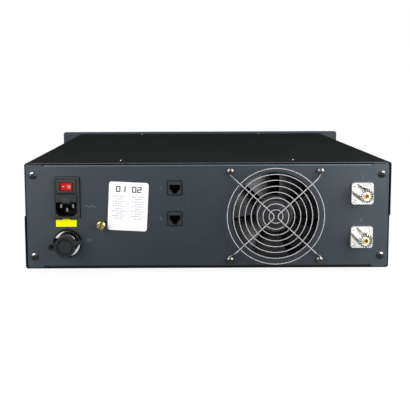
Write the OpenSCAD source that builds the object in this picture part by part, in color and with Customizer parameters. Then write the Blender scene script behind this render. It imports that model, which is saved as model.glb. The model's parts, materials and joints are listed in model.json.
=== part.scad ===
// Radio repeater, a 3U rack unit that stands on its feet. Sizes are in millimetres.
// +Z is up. The rear panel with its sockets and fan faces -Y, the front panel faces +Y.
// The origin lies on the ground under the middle of the unit.

/* [Case] */
// Width across the top cover, and across the tray
body_w = 426.2; // [412:0.2:440]
// Depth from the face of the rear panel to the back of the front panel
body_d = 350; // [335:1:420]
// Thickness of the cover and tray sheet
sheet = 1.2; // [0.8:0.1:1.6]
// Outer bend radius of the cover and tray
cover_r = 3; // [2:0.5:5]
// Gap between fixed sheet parts
fit_gap = 0.2; // [0.1:0.05:0.3]
// Gap between the side of the rear panel and the nearer wall of the cover or tray
side_gap = 0.3; // [0.2:0.1:0.6]
// Gap at half height between the cover and the tray
skirt_seam = 0.4; // [0.3:0.1:2]
// Number of vent slots in each side
vent_count = 16; // [6:1:18]
// Distance from one vent slot to the next
vent_pitch = 9; // [7:0.5:10]
// Width of a vent slot
vent_w = 3; // [2:0.5:4]
// Height of a vent slot
vent_h = 30; // [16:1:36]

/* [Feet] */
// Height of a foot
foot_h = 6; // [5:0.5:12]
// Diameter of a foot
foot_d = 20; // [14:1:28]
// Distance of a foot from the edges of the case
foot_inset = 40; // [30:1:60]

/* [Rear panel] */
// Thickness of the rear panel, the subframe and the rails
panel_t = 1.2; // [1:0.1:1.5]
// Width of the flat tab at each corner
tab_w = 19; // [17:0.5:22]
// Outer radius of the bend between the panel and its flanges
bend_r = 2.2; // [2:0.1:3]
// Depth of the bent flanges
flange_d = 18; // [16:1:24]
// Drop of the flanges below the corner tabs
flange_drop = 0.2; // [0.1:0.1:0.5]
// Width of the relief slot beside each bend
relief_w = 1.2; // [0.8:0.1:2]
// Corner radius of the panel
panel_r = 2.5; // [1.5:0.5:4]
// Distance of the corner screws from the side edge
corner_inset = 8; // [7:0.5:9]
// Height of the corner screws above and below the middle
corner_screw_z = 48; // [42:1:50]

/* [Screws] */
// Thread diameter of the rear panel screws
panel_screw_d = 4; // [3:0.5:5]
// Head diameter of the rear panel screws
panel_screw_head = 8; // [7:0.5:9]
// Thread diameter of the cover screws
cover_screw_d = 3; // [2.5:0.5:4]
// Head diameter of the cover screws
cover_screw_head = 5.6; // [5:0.2:7]
// Distance of the cover screws from the middle
cover_screw_x = 100; // [80:1:120]
// Distance of the cover screws from the front and rear edges
cover_screw_inset = 12; // [10:0.5:13]
// Radial gap between a screw and the hole it passes
screw_gap = 0.05; // [0.02:0.01:0.1]

/* [Front panel] */
// Width of the rack panel
rack_w = 482.6; // [480:0.2:484]
// Height in rack units
rack_units = 3; // [3:1:4]
// Thickness of the front panel
front_t = 3.5; // [3:0.5:5]
// Corner radius of the front panel
front_r = 4; // [2:0.5:8]
// Distance between the rack slots across the panel
rack_slot_x = 465.1; // [464:0.1:466]
// Distance between the rack slots up the panel
rack_slot_z = 57.15; // [50:0.05:70]
// Length of a rack slot
slot_length = 10.3; // [8:0.1:12]
// Width of a rack slot
slot_width = 6.8; // [6:0.1:7.5]
// Distance between the feet of a handle
handle_span = 90; // [80:1:96]
// Bar diameter of a handle
handle_d = 10; // [8:0.5:12]
// Reach of a handle in front of the panel
handle_reach = 39.5; // [32:0.5:45]
// Bend radius of a handle, to the middle of its bar
handle_bend = 12; // [10:1:16]
// Thread diameter of the handle screws
handle_screw_d = 5; // [4:0.5:6]

/* [Fan] */
// Width of the fan frame
fan_w = 119; // [116:0.5:122]
// Depth of the fan frame
fan_depth = 38; // [36:0.5:45]
// Distance between the fan screws
fan_holes = 104.8; // [103:0.1:106]
// Distance of the fan right of the middle
fan_x = 79; // [70:1:85]
// Gap between the fan frame and the panel flanges
fan_clear = 0.2; // [0.1:0.05:0.5]
// Diameter of the opening in the rear panel
fan_opening = 102; // [98:1:106]
// Inner diameter of the fan duct
duct_d = 113; // [111:0.5:114]
// Thickness of the two square flanges of the fan frame
fan_flange = 5; // [4:0.5:6]
// Diameter of the rotor hub
hub_d = 44; // [40:1:48]
// Depth of the rotor hub
hub_depth = 26; // [24:0.5:27]
// Number of blades
blade_count = 7; // [5:1:7]
// Angle that one blade spans, as a share of its place
blade_share = 0.84; // [0.6:0.01:0.9]
// Gap between the blade tips and the duct
tip_gap = 1.5; // [1:0.1:3]
// Depth of a blade at the hub
blade_depth = 20; // [15:0.5:21]
// Thickness of a blade
blade_t = 1.6; // [1.2:0.1:2]
// Diameter of the fan shaft
shaft_d = 3; // [2:0.5:4]
// Radial running gap of a turning shaft
running_gap = 0.05; // [0.02:0.01:0.08]
// Thread diameter of the fan screws
fan_screw_d = 4; // [3:0.5:4.5]
// Head diameter of the fan screws
fan_screw_head = 7.2; // [7:0.2:8]

/* [Finger guard] */
// Number of rings
ring_count = 8; // [5:1:8]
// Distance from one ring to the next
ring_pitch = 6.9; // [6:0.1:7]
// Radius of the innermost ring
ring_first = 8; // [7:0.5:9]
// Wire diameter of the rings
ring_wire = 1.4; // [1.2:0.1:2]
// Wire diameter of the two hairpin wires
spoke_wire = 1.8; // [1.6:0.1:2.4]
// Height of the hairpin wires above the panel, to their middle
guard_lift = 7; // [6:0.5:10]
// Bend radius of the hairpin wires at the middle of the guard
hairpin_r = 5; // [4:0.5:5.5]

/* [Antenna sockets] */
// Distance of the antenna sockets from the side edge of the panel
antenna_inset = 31; // [29:0.5:34]
// Height of the antenna sockets above and below the middle
antenna_z = 25.8; // [22:0.2:30]
// Width of a socket flange
socket_flange = 25.4; // [24:0.1:27]
// Thickness of a socket flange
socket_flange_t = 2.5; // [2:0.1:3.5]
// Diameter of the socket barrel
barrel_d = 15.9; // [15:0.1:16.5]
// Length of the socket barrel
barrel_l = 16.5; // [12:0.5:20]
// Distance between the screws of a socket
socket_holes = 18.2; // [17.6:0.1:18.6]
// Diameter of the insulator
insulator_d = 11; // [10.5:0.1:12.4]
// Diameter of the centre contact
contact_d = 6.2; // [6:0.1:7.4]
// Hole in the centre contact
contact_hole = 4; // [3.5:0.1:4.4]
// Number of notches in the rim of the barrel
notch_count = 16; // [4:2:16]

/* [Mains inlet] */
// Distance of the inlet from the side edge of the panel
inlet_inset = 47; // [44:0.5:50]
// Height of the inlet above the middle
inlet_z = 22; // [20:0.5:25]
// Width of the inlet face
inlet_w = 30.5; // [30:0.1:32]
// Height of the inlet face
inlet_h = 49; // [48.6:0.1:53]
// Thickness of the inlet face
inlet_face = 3; // [2.5:0.1:4]
// Depth of the inlet body behind the panel
inlet_depth = 30; // [28:0.5:36]
// Width of the rocker window
rocker_w = 15.4; // [14:0.1:16]
// Height of the rocker window
rocker_h = 10.6; // [10:0.1:10.8]
// Angle of the rocker to each side
rocker_angle = 12; // [8:0.5:14]
// Gap round a moving piece
move_gap = 0.35; // [0.3:0.05:0.5]
// Width of the fuse drawer
drawer_w = 25; // [24.4:0.1:25.4]
// Height of the fuse drawer
drawer_h = 9.2; // [8.6:0.1:9.4]
// Depth of the fuse drawer behind its face
drawer_depth = 19; // [17:0.5:22]
// Width of the socket opening
cavity_w = 25; // [24:0.1:25.4]
// Height of the socket opening
cavity_h = 16.4; // [16:0.1:16.6]
// Depth of the socket opening
cavity_depth = 16; // [14:0.5:18]

/* [Low voltage socket] */
// Height of the socket below the middle
dc_drop = 32; // [30:0.5:34]
// Diameter of the socket flange
dc_flange_d = 32.5; // [30:0.5:34]
// Thickness of the socket flange
dc_flange_t = 3; // [2:0.1:4]
// Diameter of the socket barrel
dc_barrel_d = 21; // [20:0.5:22]
// Length of the barrel in front of the flange
dc_barrel_l = 11.5; // [8:0.5:12]
// Diameter of the cap
cap_d = 25; // [24.6:0.2:27]
// Reach of the cap ears from its middle
cap_ear = 20; // [18:0.5:21]

/* [Earth screw and data jacks] */
// Distance of the earth screw left of the middle
ground_x = 123.5; // [115:0.5:130]
// Height of the earth screw below the middle
ground_drop = 9.5; // [5:0.5:15]
// Head diameter of the earth screw
ground_head = 9.5; // [9:0.5:12]
// Distance of the data jacks left of the middle
jack_x = 38; // [30:0.5:45]
// Height of the middle of the two data jacks
jack_mid_z = 15; // [10:0.5:18]
// Distance between the data jacks
jack_pitch = 36.2; // [30:0.2:40]
// Width of a jack face
jack_w = 17.2; // [16.6:0.1:18]
// Height of a jack face
jack_h = 17.6; // [17:0.1:18.5]
// Depth of a jack
jack_depth = 20; // [18:0.5:24]

/* [Front controls] */
// Width of the display window
display_w = 92; // [80:1:96]
// Height of the display window
display_h = 34; // [28:1:36]
// Diameter of the channel knob
channel_knob_d = 32; // [26:1:36]
// Diameter of the volume knob
volume_knob_d = 24; // [22:1:28]
// Height of both knobs
knob_h = 17; // [15:0.5:20]
// Diameter of the control shafts
control_shaft_d = 6; // [5:0.5:6.5]
// Width of a key
key_w = 16; // [12:0.5:18]
// Height of a key
key_h = 9; // [7:0.5:10]
// Travel of a key
key_travel = 1; // [0.6:0.1:1.4]
// Diameter of a status light
light_d = 5; // [4:0.5:6]
// Diameter of the speaker
speaker_d = 72; // [60:1:78]

/* [Modules inside] */
// Distance from the side of the transmitter to the axis of the antenna sockets
transmitter_clear = 38; // [34:1:46]
// Depth of the transmitter and its heat sink
transmitter_d = 150; // [120:1:155]
// Height of the transmitter below its heat sink
transmitter_h = 38; // [34:1:44]
// Number of heat sink fins
fin_count = 13; // [8:1:16]
// Height of the fins
fin_h = 40; // [25:1:50]
// Width of the power supply
supply_w = 98; // [80:1:104]
// Depth of the power supply
supply_d = 180; // [150:1:190]
// Height of the power supply
supply_h = 46; // [38:1:60]
// Width of the receiver
receiver_w = 74; // [60:1:78]
// Depth of the receiver
receiver_d = 130; // [110:1:140]
// Height of the receiver
receiver_h = 46; // [44:1:60]
// Distance of the modules from the face of the rear panel
module_set = 60; // [56:1:66]
// Diameter of the coaxial leads
coax_d = 3.6; // [3:0.2:4]

/* [Hidden] */
$fn = 72;
over = 1;
panel_grey = [0.27, 0.29, 0.32];
cover_black = [0.12, 0.125, 0.13];
plastic_black = [0.07, 0.07, 0.075];
rubber_black = [0.05, 0.05, 0.05];
nickel = [0.72, 0.71, 0.68];
chrome = [0.8, 0.8, 0.82];
brass = [0.72, 0.56, 0.27];
gold = [0.83, 0.66, 0.3];
steel = [0.55, 0.56, 0.58];
aluminium = [0.68, 0.69, 0.7];
board_green = [0.05, 0.3, 0.18];

body_h = fan_w + 2 * (fan_clear + panel_t + flange_drop + fit_gap + sheet);
mid_z = foot_h + body_h / 2;
floor_z = foot_h + sheet;
panel_w = body_w - 3 * sheet - 2 * side_gap;
panel_h = body_h - 2 * (sheet + fit_gap);
flange_z = panel_h / 2 - flange_drop;
flange_w = panel_w - 2 * (tab_w + relief_w);
corner_x = panel_w / 2 - corner_inset;
front_h = rack_units * 44.45 - 0.8;

cap_t = 2;
cap_front = dc_flange_t + dc_barrel_l + move_gap + cap_t;
socket_front = socket_flange_t + barrel_l;
rear_reach = max(cap_front, socket_front);
total_d = rear_reach + body_d + front_t + handle_reach;
rear_y = rear_reach - total_d / 2;
front_y = rear_y + body_d;
rear_in = rear_y + panel_t;
front_in = front_y - panel_t;

fan_back = panel_t + fan_depth;
motor_base_t = 3;
hub_front = panel_t + 3;
hub_skin = 2.5;
bush_r = 4;
tube_r = 5.5;
tip_r = duct_d / 2 - tip_gap;
spoke_r = fan_holes / sqrt(2);
eye_r = fan_screw_d / 2 + spoke_wire / 2 + 0.4;
eye_run = 2.5;
pan_share = 0.38;

antenna_x = panel_w / 2 - antenna_inset;
socket_boss_r = barrel_d / 2;
socket_boss_l = 6;
contact_tail = 12;
bore_floor = 5;

inlet_x = inlet_inset - panel_w / 2;
inlet_body_w = inlet_w - 3.5;
inlet_body_h = inlet_h - 3.5;
rocker_mid = 13.8;
rocker_r = rocker_w / 2 - move_gap;
bezel_t = 1;
bezel_rim = 2.6;
bezel_w = rocker_w + 2 * bezel_rim + 1.2;
bezel_h = rocker_h + 2 * bezel_rim;
pocket_rim = 1.6;
switch_depth = 15;
drawer_mid = 0.3;
drawer_face = 1.2;
drawer_wall = 0.9;
cavity_mid = -13.6;
cavity_bevel = 4.5;
pin_t = 2;
pin_w = 4;
pin_x = 7;
pin_high = 3.2;
pin_low = -1.2;
fuse_d = 5.2;
fuse_l = 20;

dc_x = inlet_x;
dc_thread_d = dc_barrel_d + 1;
dc_tail = 12;
dc_bore_d = dc_barrel_d - 4;
nut_t = 4;
fan_nut_t = 3;
screw_tail = 5;

ground_d = 5;
ground_neck = 3;
jack_face_t = 0.8;
jack_body_w = jack_w - 1.6;
jack_body_h = jack_h - 1.6;
jack_high = jack_mid_z + jack_pitch / 2;
jack_low = jack_mid_z - jack_pitch / 2;
port_w = 12.6;
port_top = 3.8;
port_h = 6.6;
port_depth = 14;
wire_t = 0.4;

display_x = -30;
display_z = 20;
board_x = -32;
board_w = 124;
board_h = 86;
board_set = 13;
board_t = 1.6;
window_t = 2;
key_pitch = 30;
key_z = -20;
key_proud = 2.5;
key_lip = 1;
light_x = 24;
light_pitch = 11;
knob_z = 14;
channel_x = 75;
volume_x = 130;
knob_gap = 0.8;
bushing_d = control_shaft_d + 3;
bushing_l = 5;
control_w = 14;
control_t = 9;
knob_pocket = bushing_l + 1;
mic_x = 102;
mic_z = -34;
window_edge = 20;
window_rim = 13;
window_w = 2 * (corner_x - window_edge);
window_h = panel_h - 2 * window_rim;
speaker_x = speaker_d / 2 + 7 - window_w / 2;

rail_lip = 8;
module_gap = 1;
aisle = 12;
transmitter_x = fan_x;
transmitter_y = rear_y + module_set;
transmitter_w = 2 * (antenna_x - transmitter_clear - fan_x);
supply_x = rail_lip + module_gap + supply_w / 2 - panel_w / 2;
supply_y = rear_y + module_set + 10;
receiver_x = supply_x + supply_w / 2 + aisle + receiver_w / 2;
receiver_y = rear_y + module_set;
plug_set = 40;
plug_d = 8;
sink_base = 6;
fin_t = 3;
lead_z = 19;

// Places its children on the face of the rear panel: x to the right and y up as seen from behind, z outwards
module on_rear(x = 0, z = 0) {
  translate([x, rear_y, mid_z + z]) rotate([90, 0, 0]) children();
}

// Places its children on the face of the front panel: x to the right and y up as seen from the front
module on_front(x = 0, z = 0) {
  translate([-x, front_y + front_t, mid_z + z]) rotate([90, 0, 180]) children();
}

// Repeats its children at the four corners of a rectangle
module at_corners(dx, dy) {
  for (sx = [-1, 1], sy = [-1, 1]) translate([sx * dx / 2, sy * dy / 2, 0]) children();
}

// A rectangle with round corners
module rounded_rect(w, h, r) {
  square([w - 2 * r, h], center = true);
  square([w, h - 2 * r], center = true);
  at_corners(w - 2 * r, h - 2 * r) circle(r);
}

// A slot with round ends along x
module slot(length, width) {
  square([length - width, width], center = true);
  for (s = [-1, 1]) translate([s * (length - width) / 2, 0]) circle(d = width);
}

// A pan head screw with a cross recess. The head stands on z = 0 and the shank points down
module pan_screw(d, length, head_d) {
  head_h = head_d * pan_share;
  dome_r = head_d * 0.72;
  difference() {
    intersection() {
      cylinder(d = head_d, h = head_h);
      translate([0, 0, head_h - dome_r]) sphere(dome_r);
    }
    for (a = [0, 90]) rotate(a) translate([0, 0, head_h])
      cube([head_d * 0.56, head_d * 0.14, head_h], center = true);
  }
  translate([0, 0, -length]) cylinder(d = d, h = length + head_h * 0.3);
}

// A hexagon nut with its bore, standing on z = 0
module hex_nut(d, t) {
  difference() {
    cylinder(d = d * 1.85, h = t, $fn = 6);
    translate([0, 0, -over]) cylinder(d = d + 2 * screw_gap, h = t + 2 * over);
  }
}

// A sheet panel with its top and bottom edges bent inwards, face on z = 0
module flanged_sheet() {
  bend_z = flange_z - bend_r;
  translate([0, 0, -panel_t]) linear_extrude(panel_t) difference() {
    rounded_rect(panel_w, panel_h, panel_r);
    for (s = [-1, 1]) translate([0, s * panel_h / 2])
      square([flange_w + 2 * relief_w, panel_h - 2 * bend_z], center = true);
  }
  for (s = [0, 1]) mirror([0, s, 0]) rotate([0, -90, 0]) linear_extrude(flange_w, center = true) {
    intersection() {
      translate([-bend_r, bend_z]) difference() {
        circle(bend_r);
        circle(bend_r - panel_t);
      }
      translate([-bend_r, bend_z]) square(bend_r);
    }
    translate([-flange_d, flange_z - panel_t]) square([flange_d - bend_r, panel_t]);
  }
}

// Holes for the cover screws, from below the tray to above the cover
module cover_screw_holes(d) {
  for (x = [-1, 1], y = [rear_y + cover_screw_inset, front_y - cover_screw_inset])
    translate([x * cover_screw_x, y, foot_h - over]) cylinder(d = d, h = body_h + 2 * over);
}

// All openings in the rear panel, as one flat pattern
module rear_openings() {
  translate([inlet_x, inlet_z])
    square([inlet_body_w + 2 * fit_gap, inlet_body_h + 2 * fit_gap], center = true);
  translate([dc_x, -dc_drop]) circle(d = dc_thread_d + 2 * fit_gap);
  translate([-ground_x, -ground_drop]) circle(d = ground_d + 2 * screw_gap);
  for (z = [jack_low, jack_high])
    translate([-jack_x, z]) square([jack_body_w + 2 * fit_gap, jack_body_h + 2 * fit_gap], center = true);
  translate([fan_x, 0]) circle(d = fan_opening);
  translate([fan_x, 0]) at_corners(fan_holes, fan_holes) circle(d = fan_screw_d + 2 * screw_gap);
  for (s = [-1, 1]) translate([antenna_x, s * antenna_z]) {
    circle(r = socket_boss_r + fit_gap);
    at_corners(socket_holes, socket_holes) circle(d = cover_screw_d + 2 * screw_gap);
  }
  at_corners(2 * corner_x, 2 * corner_screw_z) circle(d = panel_screw_d + 2 * screw_gap);
}

module rear_panel() {
  color(panel_grey) difference() {
    on_rear() flanged_sheet();
    on_rear() translate([0, 0, -panel_t - over]) linear_extrude(panel_t + 2 * over) rear_openings();
    cover_screw_holes(cover_screw_d + 2 * screw_gap);
  }
}

module front_subframe() {
  color(panel_grey) difference() {
    on_front() translate([0, 0, -front_t]) flanged_sheet();
    on_front() translate([0, 0, -front_t - panel_t - over]) linear_extrude(panel_t + 2 * over) {
      rounded_rect(window_w, window_h, panel_r);
      at_corners(2 * corner_x, handle_span) circle(d = handle_screw_d + 2 * screw_gap);
    }
    cover_screw_holes(cover_screw_d + 2 * screw_gap);
  }
}

// The right half of a panel with round corners, as wide as w
module rail_end(w) {
  intersection() {
    rounded_rect(2 * w, panel_h, panel_r);
    translate([0, -panel_h]) square([w, 2 * panel_h]);
  }
}

// The right rail: a web bent into a short lip along top and bottom, and a flange at each end
module side_rail() {
  end_w = tab_w - relief_w;
  difference() {
    translate([panel_w / 2, front_in, mid_z]) rotate([90, 0, 0]) {
      translate([-rail_lip, 0, 0]) linear_extrude(front_in - rear_in) difference() {
        rail_end(rail_lip);
        rounded_rect(2 * (rail_lip - panel_t), panel_h - 2 * panel_t, panel_r - panel_t);
      }
      for (z = [0, front_in - rear_in - panel_t]) translate([-end_w, 0, z])
        linear_extrude(panel_t) rail_end(end_w);
    }
    on_rear() translate([0, 0, -2 * panel_t - over]) linear_extrude(panel_t + 2 * over)
      at_corners(2 * corner_x, 2 * corner_screw_z) circle(d = panel_screw_d + 2 * screw_gap);
    on_front() translate([0, 0, -front_t - 2 * panel_t - over]) linear_extrude(panel_t + 2 * over)
      at_corners(2 * corner_x, handle_span) circle(d = handle_screw_d + 2 * screw_gap);
    vent_slots();
  }
}

module side_rail_left() {
  color(steel) mirror([1, 0, 0]) side_rail();
}

module side_rail_right() {
  color(steel) side_rail();
}

// Vent slots through both sides, above and below the seam
module vent_slots() {
  row_z = (body_h / 2 - cover_r + skirt_seam / 2) / 2;
  for (i = [0 : vent_count - 1], s = [-1, 1])
    translate([0, front_y - 60 - i * vent_pitch, mid_z + s * row_z]) rotate([90, 0, 90])
      linear_extrude(body_w + sheet + 4 * over, center = true) rotate(90) slot(vent_h, vent_w);
}

// An inverted U of sheet, seen along its length: top at half the body height, open below
module cover_profile() {
  w = body_w;
  top = body_h / 2;
  low = skirt_seam / 2;
  difference() {
    union() {
      translate([-w / 2, low]) square([w, top - low - cover_r]);
      translate([cover_r - w / 2, low]) square([w - 2 * cover_r, top - low]);
      for (s = [-1, 1]) translate([s * (w / 2 - cover_r), top - cover_r]) circle(cover_r);
    }
    inner_r = cover_r - sheet;
    translate([sheet - w / 2, low - over]) square([w - 2 * sheet, top - low - cover_r + over]);
    translate([cover_r - w / 2, low]) square([w - 2 * cover_r, top - low - sheet]);
    for (s = [-1, 1]) translate([s * (w / 2 - cover_r), top - cover_r]) circle(inner_r);
  }
}

// The cover sits half a sheet to the right, so that its right wall stands out beyond the tray's
module top_cover() {
  color(cover_black) difference() {
    translate([sheet / 2, front_y, mid_z]) rotate([90, 0, 0]) linear_extrude(body_d) cover_profile();
    vent_slots();
    cover_screw_holes(cover_screw_d + 2 * screw_gap);
  }
}

// The tray sits half a sheet to the left, so that its left wall stands out beyond the cover's
module bottom_tray() {
  color(cover_black) difference() {
    translate([-sheet / 2, front_y, mid_z]) mirror([0, 0, 1]) rotate([90, 0, 0])
      linear_extrude(body_d) cover_profile();
    vent_slots();
    cover_screw_holes(cover_screw_d + 2 * screw_gap);
  }
}

module feet() {
  color(rubber_black) for (sx = [-1, 1], y = [rear_y + foot_inset, front_y - foot_inset])
    translate([sx * (body_w / 2 - foot_inset), y, 0]) difference() {
      cylinder(d1 = foot_d - 3, d2 = foot_d, h = foot_h);
      translate([0, 0, -over]) cylinder(d = foot_d * 0.45, h = foot_h * 0.5 + over);
    }
}

module rear_panel_screws() {
  color(nickel) on_rear() at_corners(2 * corner_x, 2 * corner_screw_z)
    pan_screw(panel_screw_d, 8, panel_screw_head);
}

module cover_screws() {
  length = sheet + fit_gap + flange_drop + panel_t;
  color(cover_black) for (x = [-1, 1], y = [rear_y + cover_screw_inset, front_y - cover_screw_inset])
    for (s = [0, 1]) translate([x * cover_screw_x, y, mid_z]) mirror([0, 0, s])
      translate([0, 0, body_h / 2]) pan_screw(cover_screw_d, length, cover_screw_head);
}

// The opening of the mains socket: a rectangle with its two lower corners bevelled
module cavity_shape(w, h) {
  polygon([[-w / 2, h / 2], [w / 2, h / 2], [w / 2, cavity_bevel - h / 2], [w / 2 - cavity_bevel, -h / 2],
    [cavity_bevel - w / 2, -h / 2], [-w / 2, cavity_bevel - h / 2]]);
}

// Places its children at the three blades of the mains socket
module at_pins() {
  for (s = [-1, 1]) translate([s * pin_x, cavity_mid + pin_high, 0]) children();
  translate([0, cavity_mid + pin_low, 0]) children();
}

// Cuts that bevel the four upper edges of a block, whose top is at z = 0
module edge_cutters(w, h, bevel) {
  side = bevel * sqrt(2);
  for (s = [-1, 1]) {
    translate([s * w / 2, 0, 0]) rotate([0, 45, 0]) cube([side, h + 2 * over, side], center = true);
    translate([0, s * h / 2, 0]) rotate([45, 0, 0]) cube([w + 2 * over, side, side], center = true);
  }
}

module inlet_body() {
  bottom = -inlet_depth;
  color(plastic_black) on_rear(inlet_x, inlet_z) difference() {
    union() {
      linear_extrude(inlet_face) rounded_rect(inlet_w, inlet_h, 2.5);
      translate([0, 0, bottom]) linear_extrude(inlet_depth + over)
        square([inlet_body_w, inlet_body_h], center = true);
    }
    translate([0, rocker_mid, bottom - over]) linear_extrude(inlet_depth + inlet_face + 2 * over)
      square([rocker_w + 2 * (pocket_rim + fit_gap), rocker_h + 2 * (pocket_rim - fit_gap)], center = true);
    translate([0, drawer_mid, inlet_face - drawer_depth - 3]) linear_extrude(drawer_depth + 3 + over)
      square([drawer_w, drawer_h] - 2 * (drawer_wall - move_gap) * [1, 1], center = true);
    translate([0, cavity_mid, inlet_face - cavity_depth]) linear_extrude(cavity_depth + over)
      cavity_shape(cavity_w, cavity_h);
    translate([0, 0, bottom - over]) linear_extrude(inlet_depth) at_pins()
      square([pin_t + 2 * screw_gap, pin_w + 2 * screw_gap], center = true);
    translate([0, 0, inlet_face]) edge_cutters(inlet_w, inlet_h, 1.2);
  }
}

module switch_frame() {
  body_w_in = rocker_w + 2 * pocket_rim;
  body_h_in = rocker_h + 2 * (pocket_rim - 2 * fit_gap);
  color(plastic_black) on_rear(inlet_x, inlet_z + rocker_mid) {
    difference() {
      union() {
        translate([0, 0, inlet_face]) linear_extrude(bezel_t)
          rounded_rect(bezel_w, bezel_h, 0.8);
        translate([0, 0, inlet_face - switch_depth]) linear_extrude(switch_depth + bezel_t / 2)
          square([body_w_in, body_h_in], center = true);
      }
      translate([0, 0, inlet_face - rocker_r - over]) linear_extrude(rocker_r + bezel_t + 2 * over)
        square([rocker_w, rocker_h], center = true);
      translate([0, 0, inlet_face + bezel_t]) edge_cutters(bezel_w, bezel_h, 0.6);
    }
    for (x = [-1, 1]) translate([x * 4.6, 0, inlet_face - switch_depth - 7]) linear_extrude(8)
      square([0.8, 6.3], center = true);
  }
}

// The rocker, seen along its hinge: a shallow V on top and ends that are arcs about the hinge
module rocker_profile() {
  rise = 2.5;
  dip = 1.2;
  intersection() {
    circle(rocker_r);
    polygon([[-rocker_r, rise], [0, rise - dip], [rocker_r, rise], [rocker_r, 0], [4, -4], [-4, -4],
      [-rocker_r, 0]]);
  }
}

module rocker_switch() {
  hinge_z = inlet_face;
  color([0.75, 0.06, 0.05]) on_rear(inlet_x, inlet_z + rocker_mid) translate([0, 0, hinge_z])
    rotate([90, -rocker_angle, 0])
      linear_extrude(rocker_h - 2 * move_gap, center = true) rocker_profile();
}

module fuse_drawer() {
  tray_w = drawer_w - 2 * drawer_wall;
  tray_h = drawer_h - 2 * drawer_wall;
  tab_h = 1.6;
  color(plastic_black) on_rear(inlet_x, inlet_z + drawer_mid) translate([0, 0, inlet_face + move_gap]) {
    linear_extrude(drawer_face) {
      rounded_rect(drawer_w, drawer_h, 0.8);
      translate([0, -drawer_h / 2 - tab_h / 2 + 0.2]) square([9, tab_h + 0.4], center = true);
    }
    difference() {
      translate([0, 0, -drawer_depth]) linear_extrude(drawer_depth + drawer_face / 2)
        square([tray_w, tray_h], center = true);
      translate([0, drawer_wall, -drawer_depth / 2])
        cube([fuse_l + 2 * fit_gap, tray_h, fuse_d + 2 * fit_gap], center = true);
    }
  }
}

module fuse() {
  tray_h = drawer_h - 2 * drawer_wall;
  axis_y = drawer_wall - tray_h / 2 + fuse_d / 2 + screw_gap;
  color([0.8, 0.82, 0.8]) on_rear(inlet_x, inlet_z + drawer_mid)
    translate([0, axis_y, inlet_face + move_gap - drawer_depth / 2]) rotate([0, 90, 0]) {
      cylinder(d = fuse_d - 0.5, h = fuse_l - 2, center = true);
      for (s = [-1, 1]) translate([0, 0, s * (fuse_l / 2 - 2.5)]) cylinder(d = fuse_d, h = 5, center = true);
    }
}

module inlet_pins() {
  tip = 5;
  tail = 8;
  color(nickel) on_rear(inlet_x, inlet_z) translate([0, 0, -inlet_depth - tail])
    linear_extrude(inlet_depth + tail + inlet_face - tip) at_pins() square([pin_t, pin_w], center = true);
}

module dc_socket() {
  r = dc_flange_d / 2;
  bevel = 1.2;
  rim = dc_flange_t + dc_barrel_l;
  color(chrome) on_rear(dc_x, -dc_drop) rotate_extrude() polygon([
    [dc_bore_d / 2, -panel_t - dc_tail], [dc_thread_d / 2, -panel_t - dc_tail], [dc_thread_d / 2, 0], [r, 0],
    [r, dc_flange_t - bevel], [r - bevel, dc_flange_t], [dc_barrel_d / 2, dc_flange_t],
    [dc_barrel_d / 2, rim - 0.6], [dc_barrel_d / 2 - 0.6, rim], [dc_bore_d / 2, rim]]);
}

module dc_insert() {
  pin_circle = dc_bore_d * 0.28;
  length = panel_t + dc_tail + dc_flange_t + dc_barrel_l - 2;
  color(plastic_black) on_rear(dc_x, -dc_drop) translate([0, 0, -panel_t - dc_tail]) difference() {
    cylinder(d = dc_bore_d - 2 * screw_gap, h = length);
    for (a = [45 : 90 : 315]) rotate(a) translate([pin_circle, 0, 4]) cylinder(d = 2.4, h = length);
  }
}

// The rubber cap over the barrel, with an ear for a tether on one side and a pull tab on the other
module dc_cap() {
  skirt = 5;
  eye = 4;
  eye_x = cap_ear - eye;
  inner_d = dc_barrel_d + 2 * move_gap;
  color(rubber_black) on_rear(dc_x, -dc_drop) translate([0, 0, cap_front - cap_t]) difference() {
    union() {
      translate([0, 0, -skirt]) cylinder(d = cap_d, h = skirt + cap_t - 0.8);
      cylinder(d = cap_d - 1.6, h = cap_t);
      linear_extrude(cap_t - 0.6) {
        rotate(183) translate([eye_x / 2, 0]) square([eye_x, 2 * eye], center = true);
        rotate(183) translate([eye_x, 0]) circle(eye);
        rotate(16) translate([cap_ear / 2, 0]) square([cap_ear, 4.6], center = true);
      }
    }
    translate([0, 0, -skirt - over]) cylinder(d = inner_d, h = skirt + over);
    translate([0, 0, cap_t - 0.7]) cylinder(d = cap_d * 0.7, h = over);
    rotate(183) translate([eye_x, 0, -over]) cylinder(d = 3.6, h = cap_t + 2 * over);
  }
}

module ground_post() {
  head_h = 6;
  edge = 0.8;
  tail = 12;
  color(brass) on_rear(-ground_x, -ground_drop) difference() {
    union() {
      translate([0, 0, -panel_t - tail]) cylinder(d = ground_d, h = panel_t + tail + over);
      cylinder(d = ground_head * 0.82, h = ground_neck + over);
      translate([0, 0, ground_neck]) cylinder(d = ground_head, h = head_h - edge);
      translate([0, 0, ground_neck + head_h - edge])
        cylinder(d1 = ground_head, d2 = ground_head - 2 * edge, h = edge);
    }
    translate([0, 0, ground_neck + head_h]) rotate(70)
      cube([ground_head + 2 * over, 1.4, 4.4], center = true);
  }
}

module panel_nuts() {
  color(nickel) {
    on_rear(fan_x, 0) at_corners(fan_holes, fan_holes) translate([0, 0, -panel_t - fan_flange - fan_nut_t])
      hex_nut(fan_screw_d, fan_nut_t);
    on_rear(dc_x, -dc_drop) translate([0, 0, -panel_t - nut_t]) difference() {
      cylinder(d = dc_thread_d + 9, h = nut_t, $fn = 6);
      translate([0, 0, -over]) cylinder(d = dc_thread_d + 2 * screw_gap, h = nut_t + 2 * over);
    }
    on_rear(-ground_x, -ground_drop) translate([0, 0, -panel_t - nut_t]) hex_nut(ground_d, nut_t);
  }
}

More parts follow.
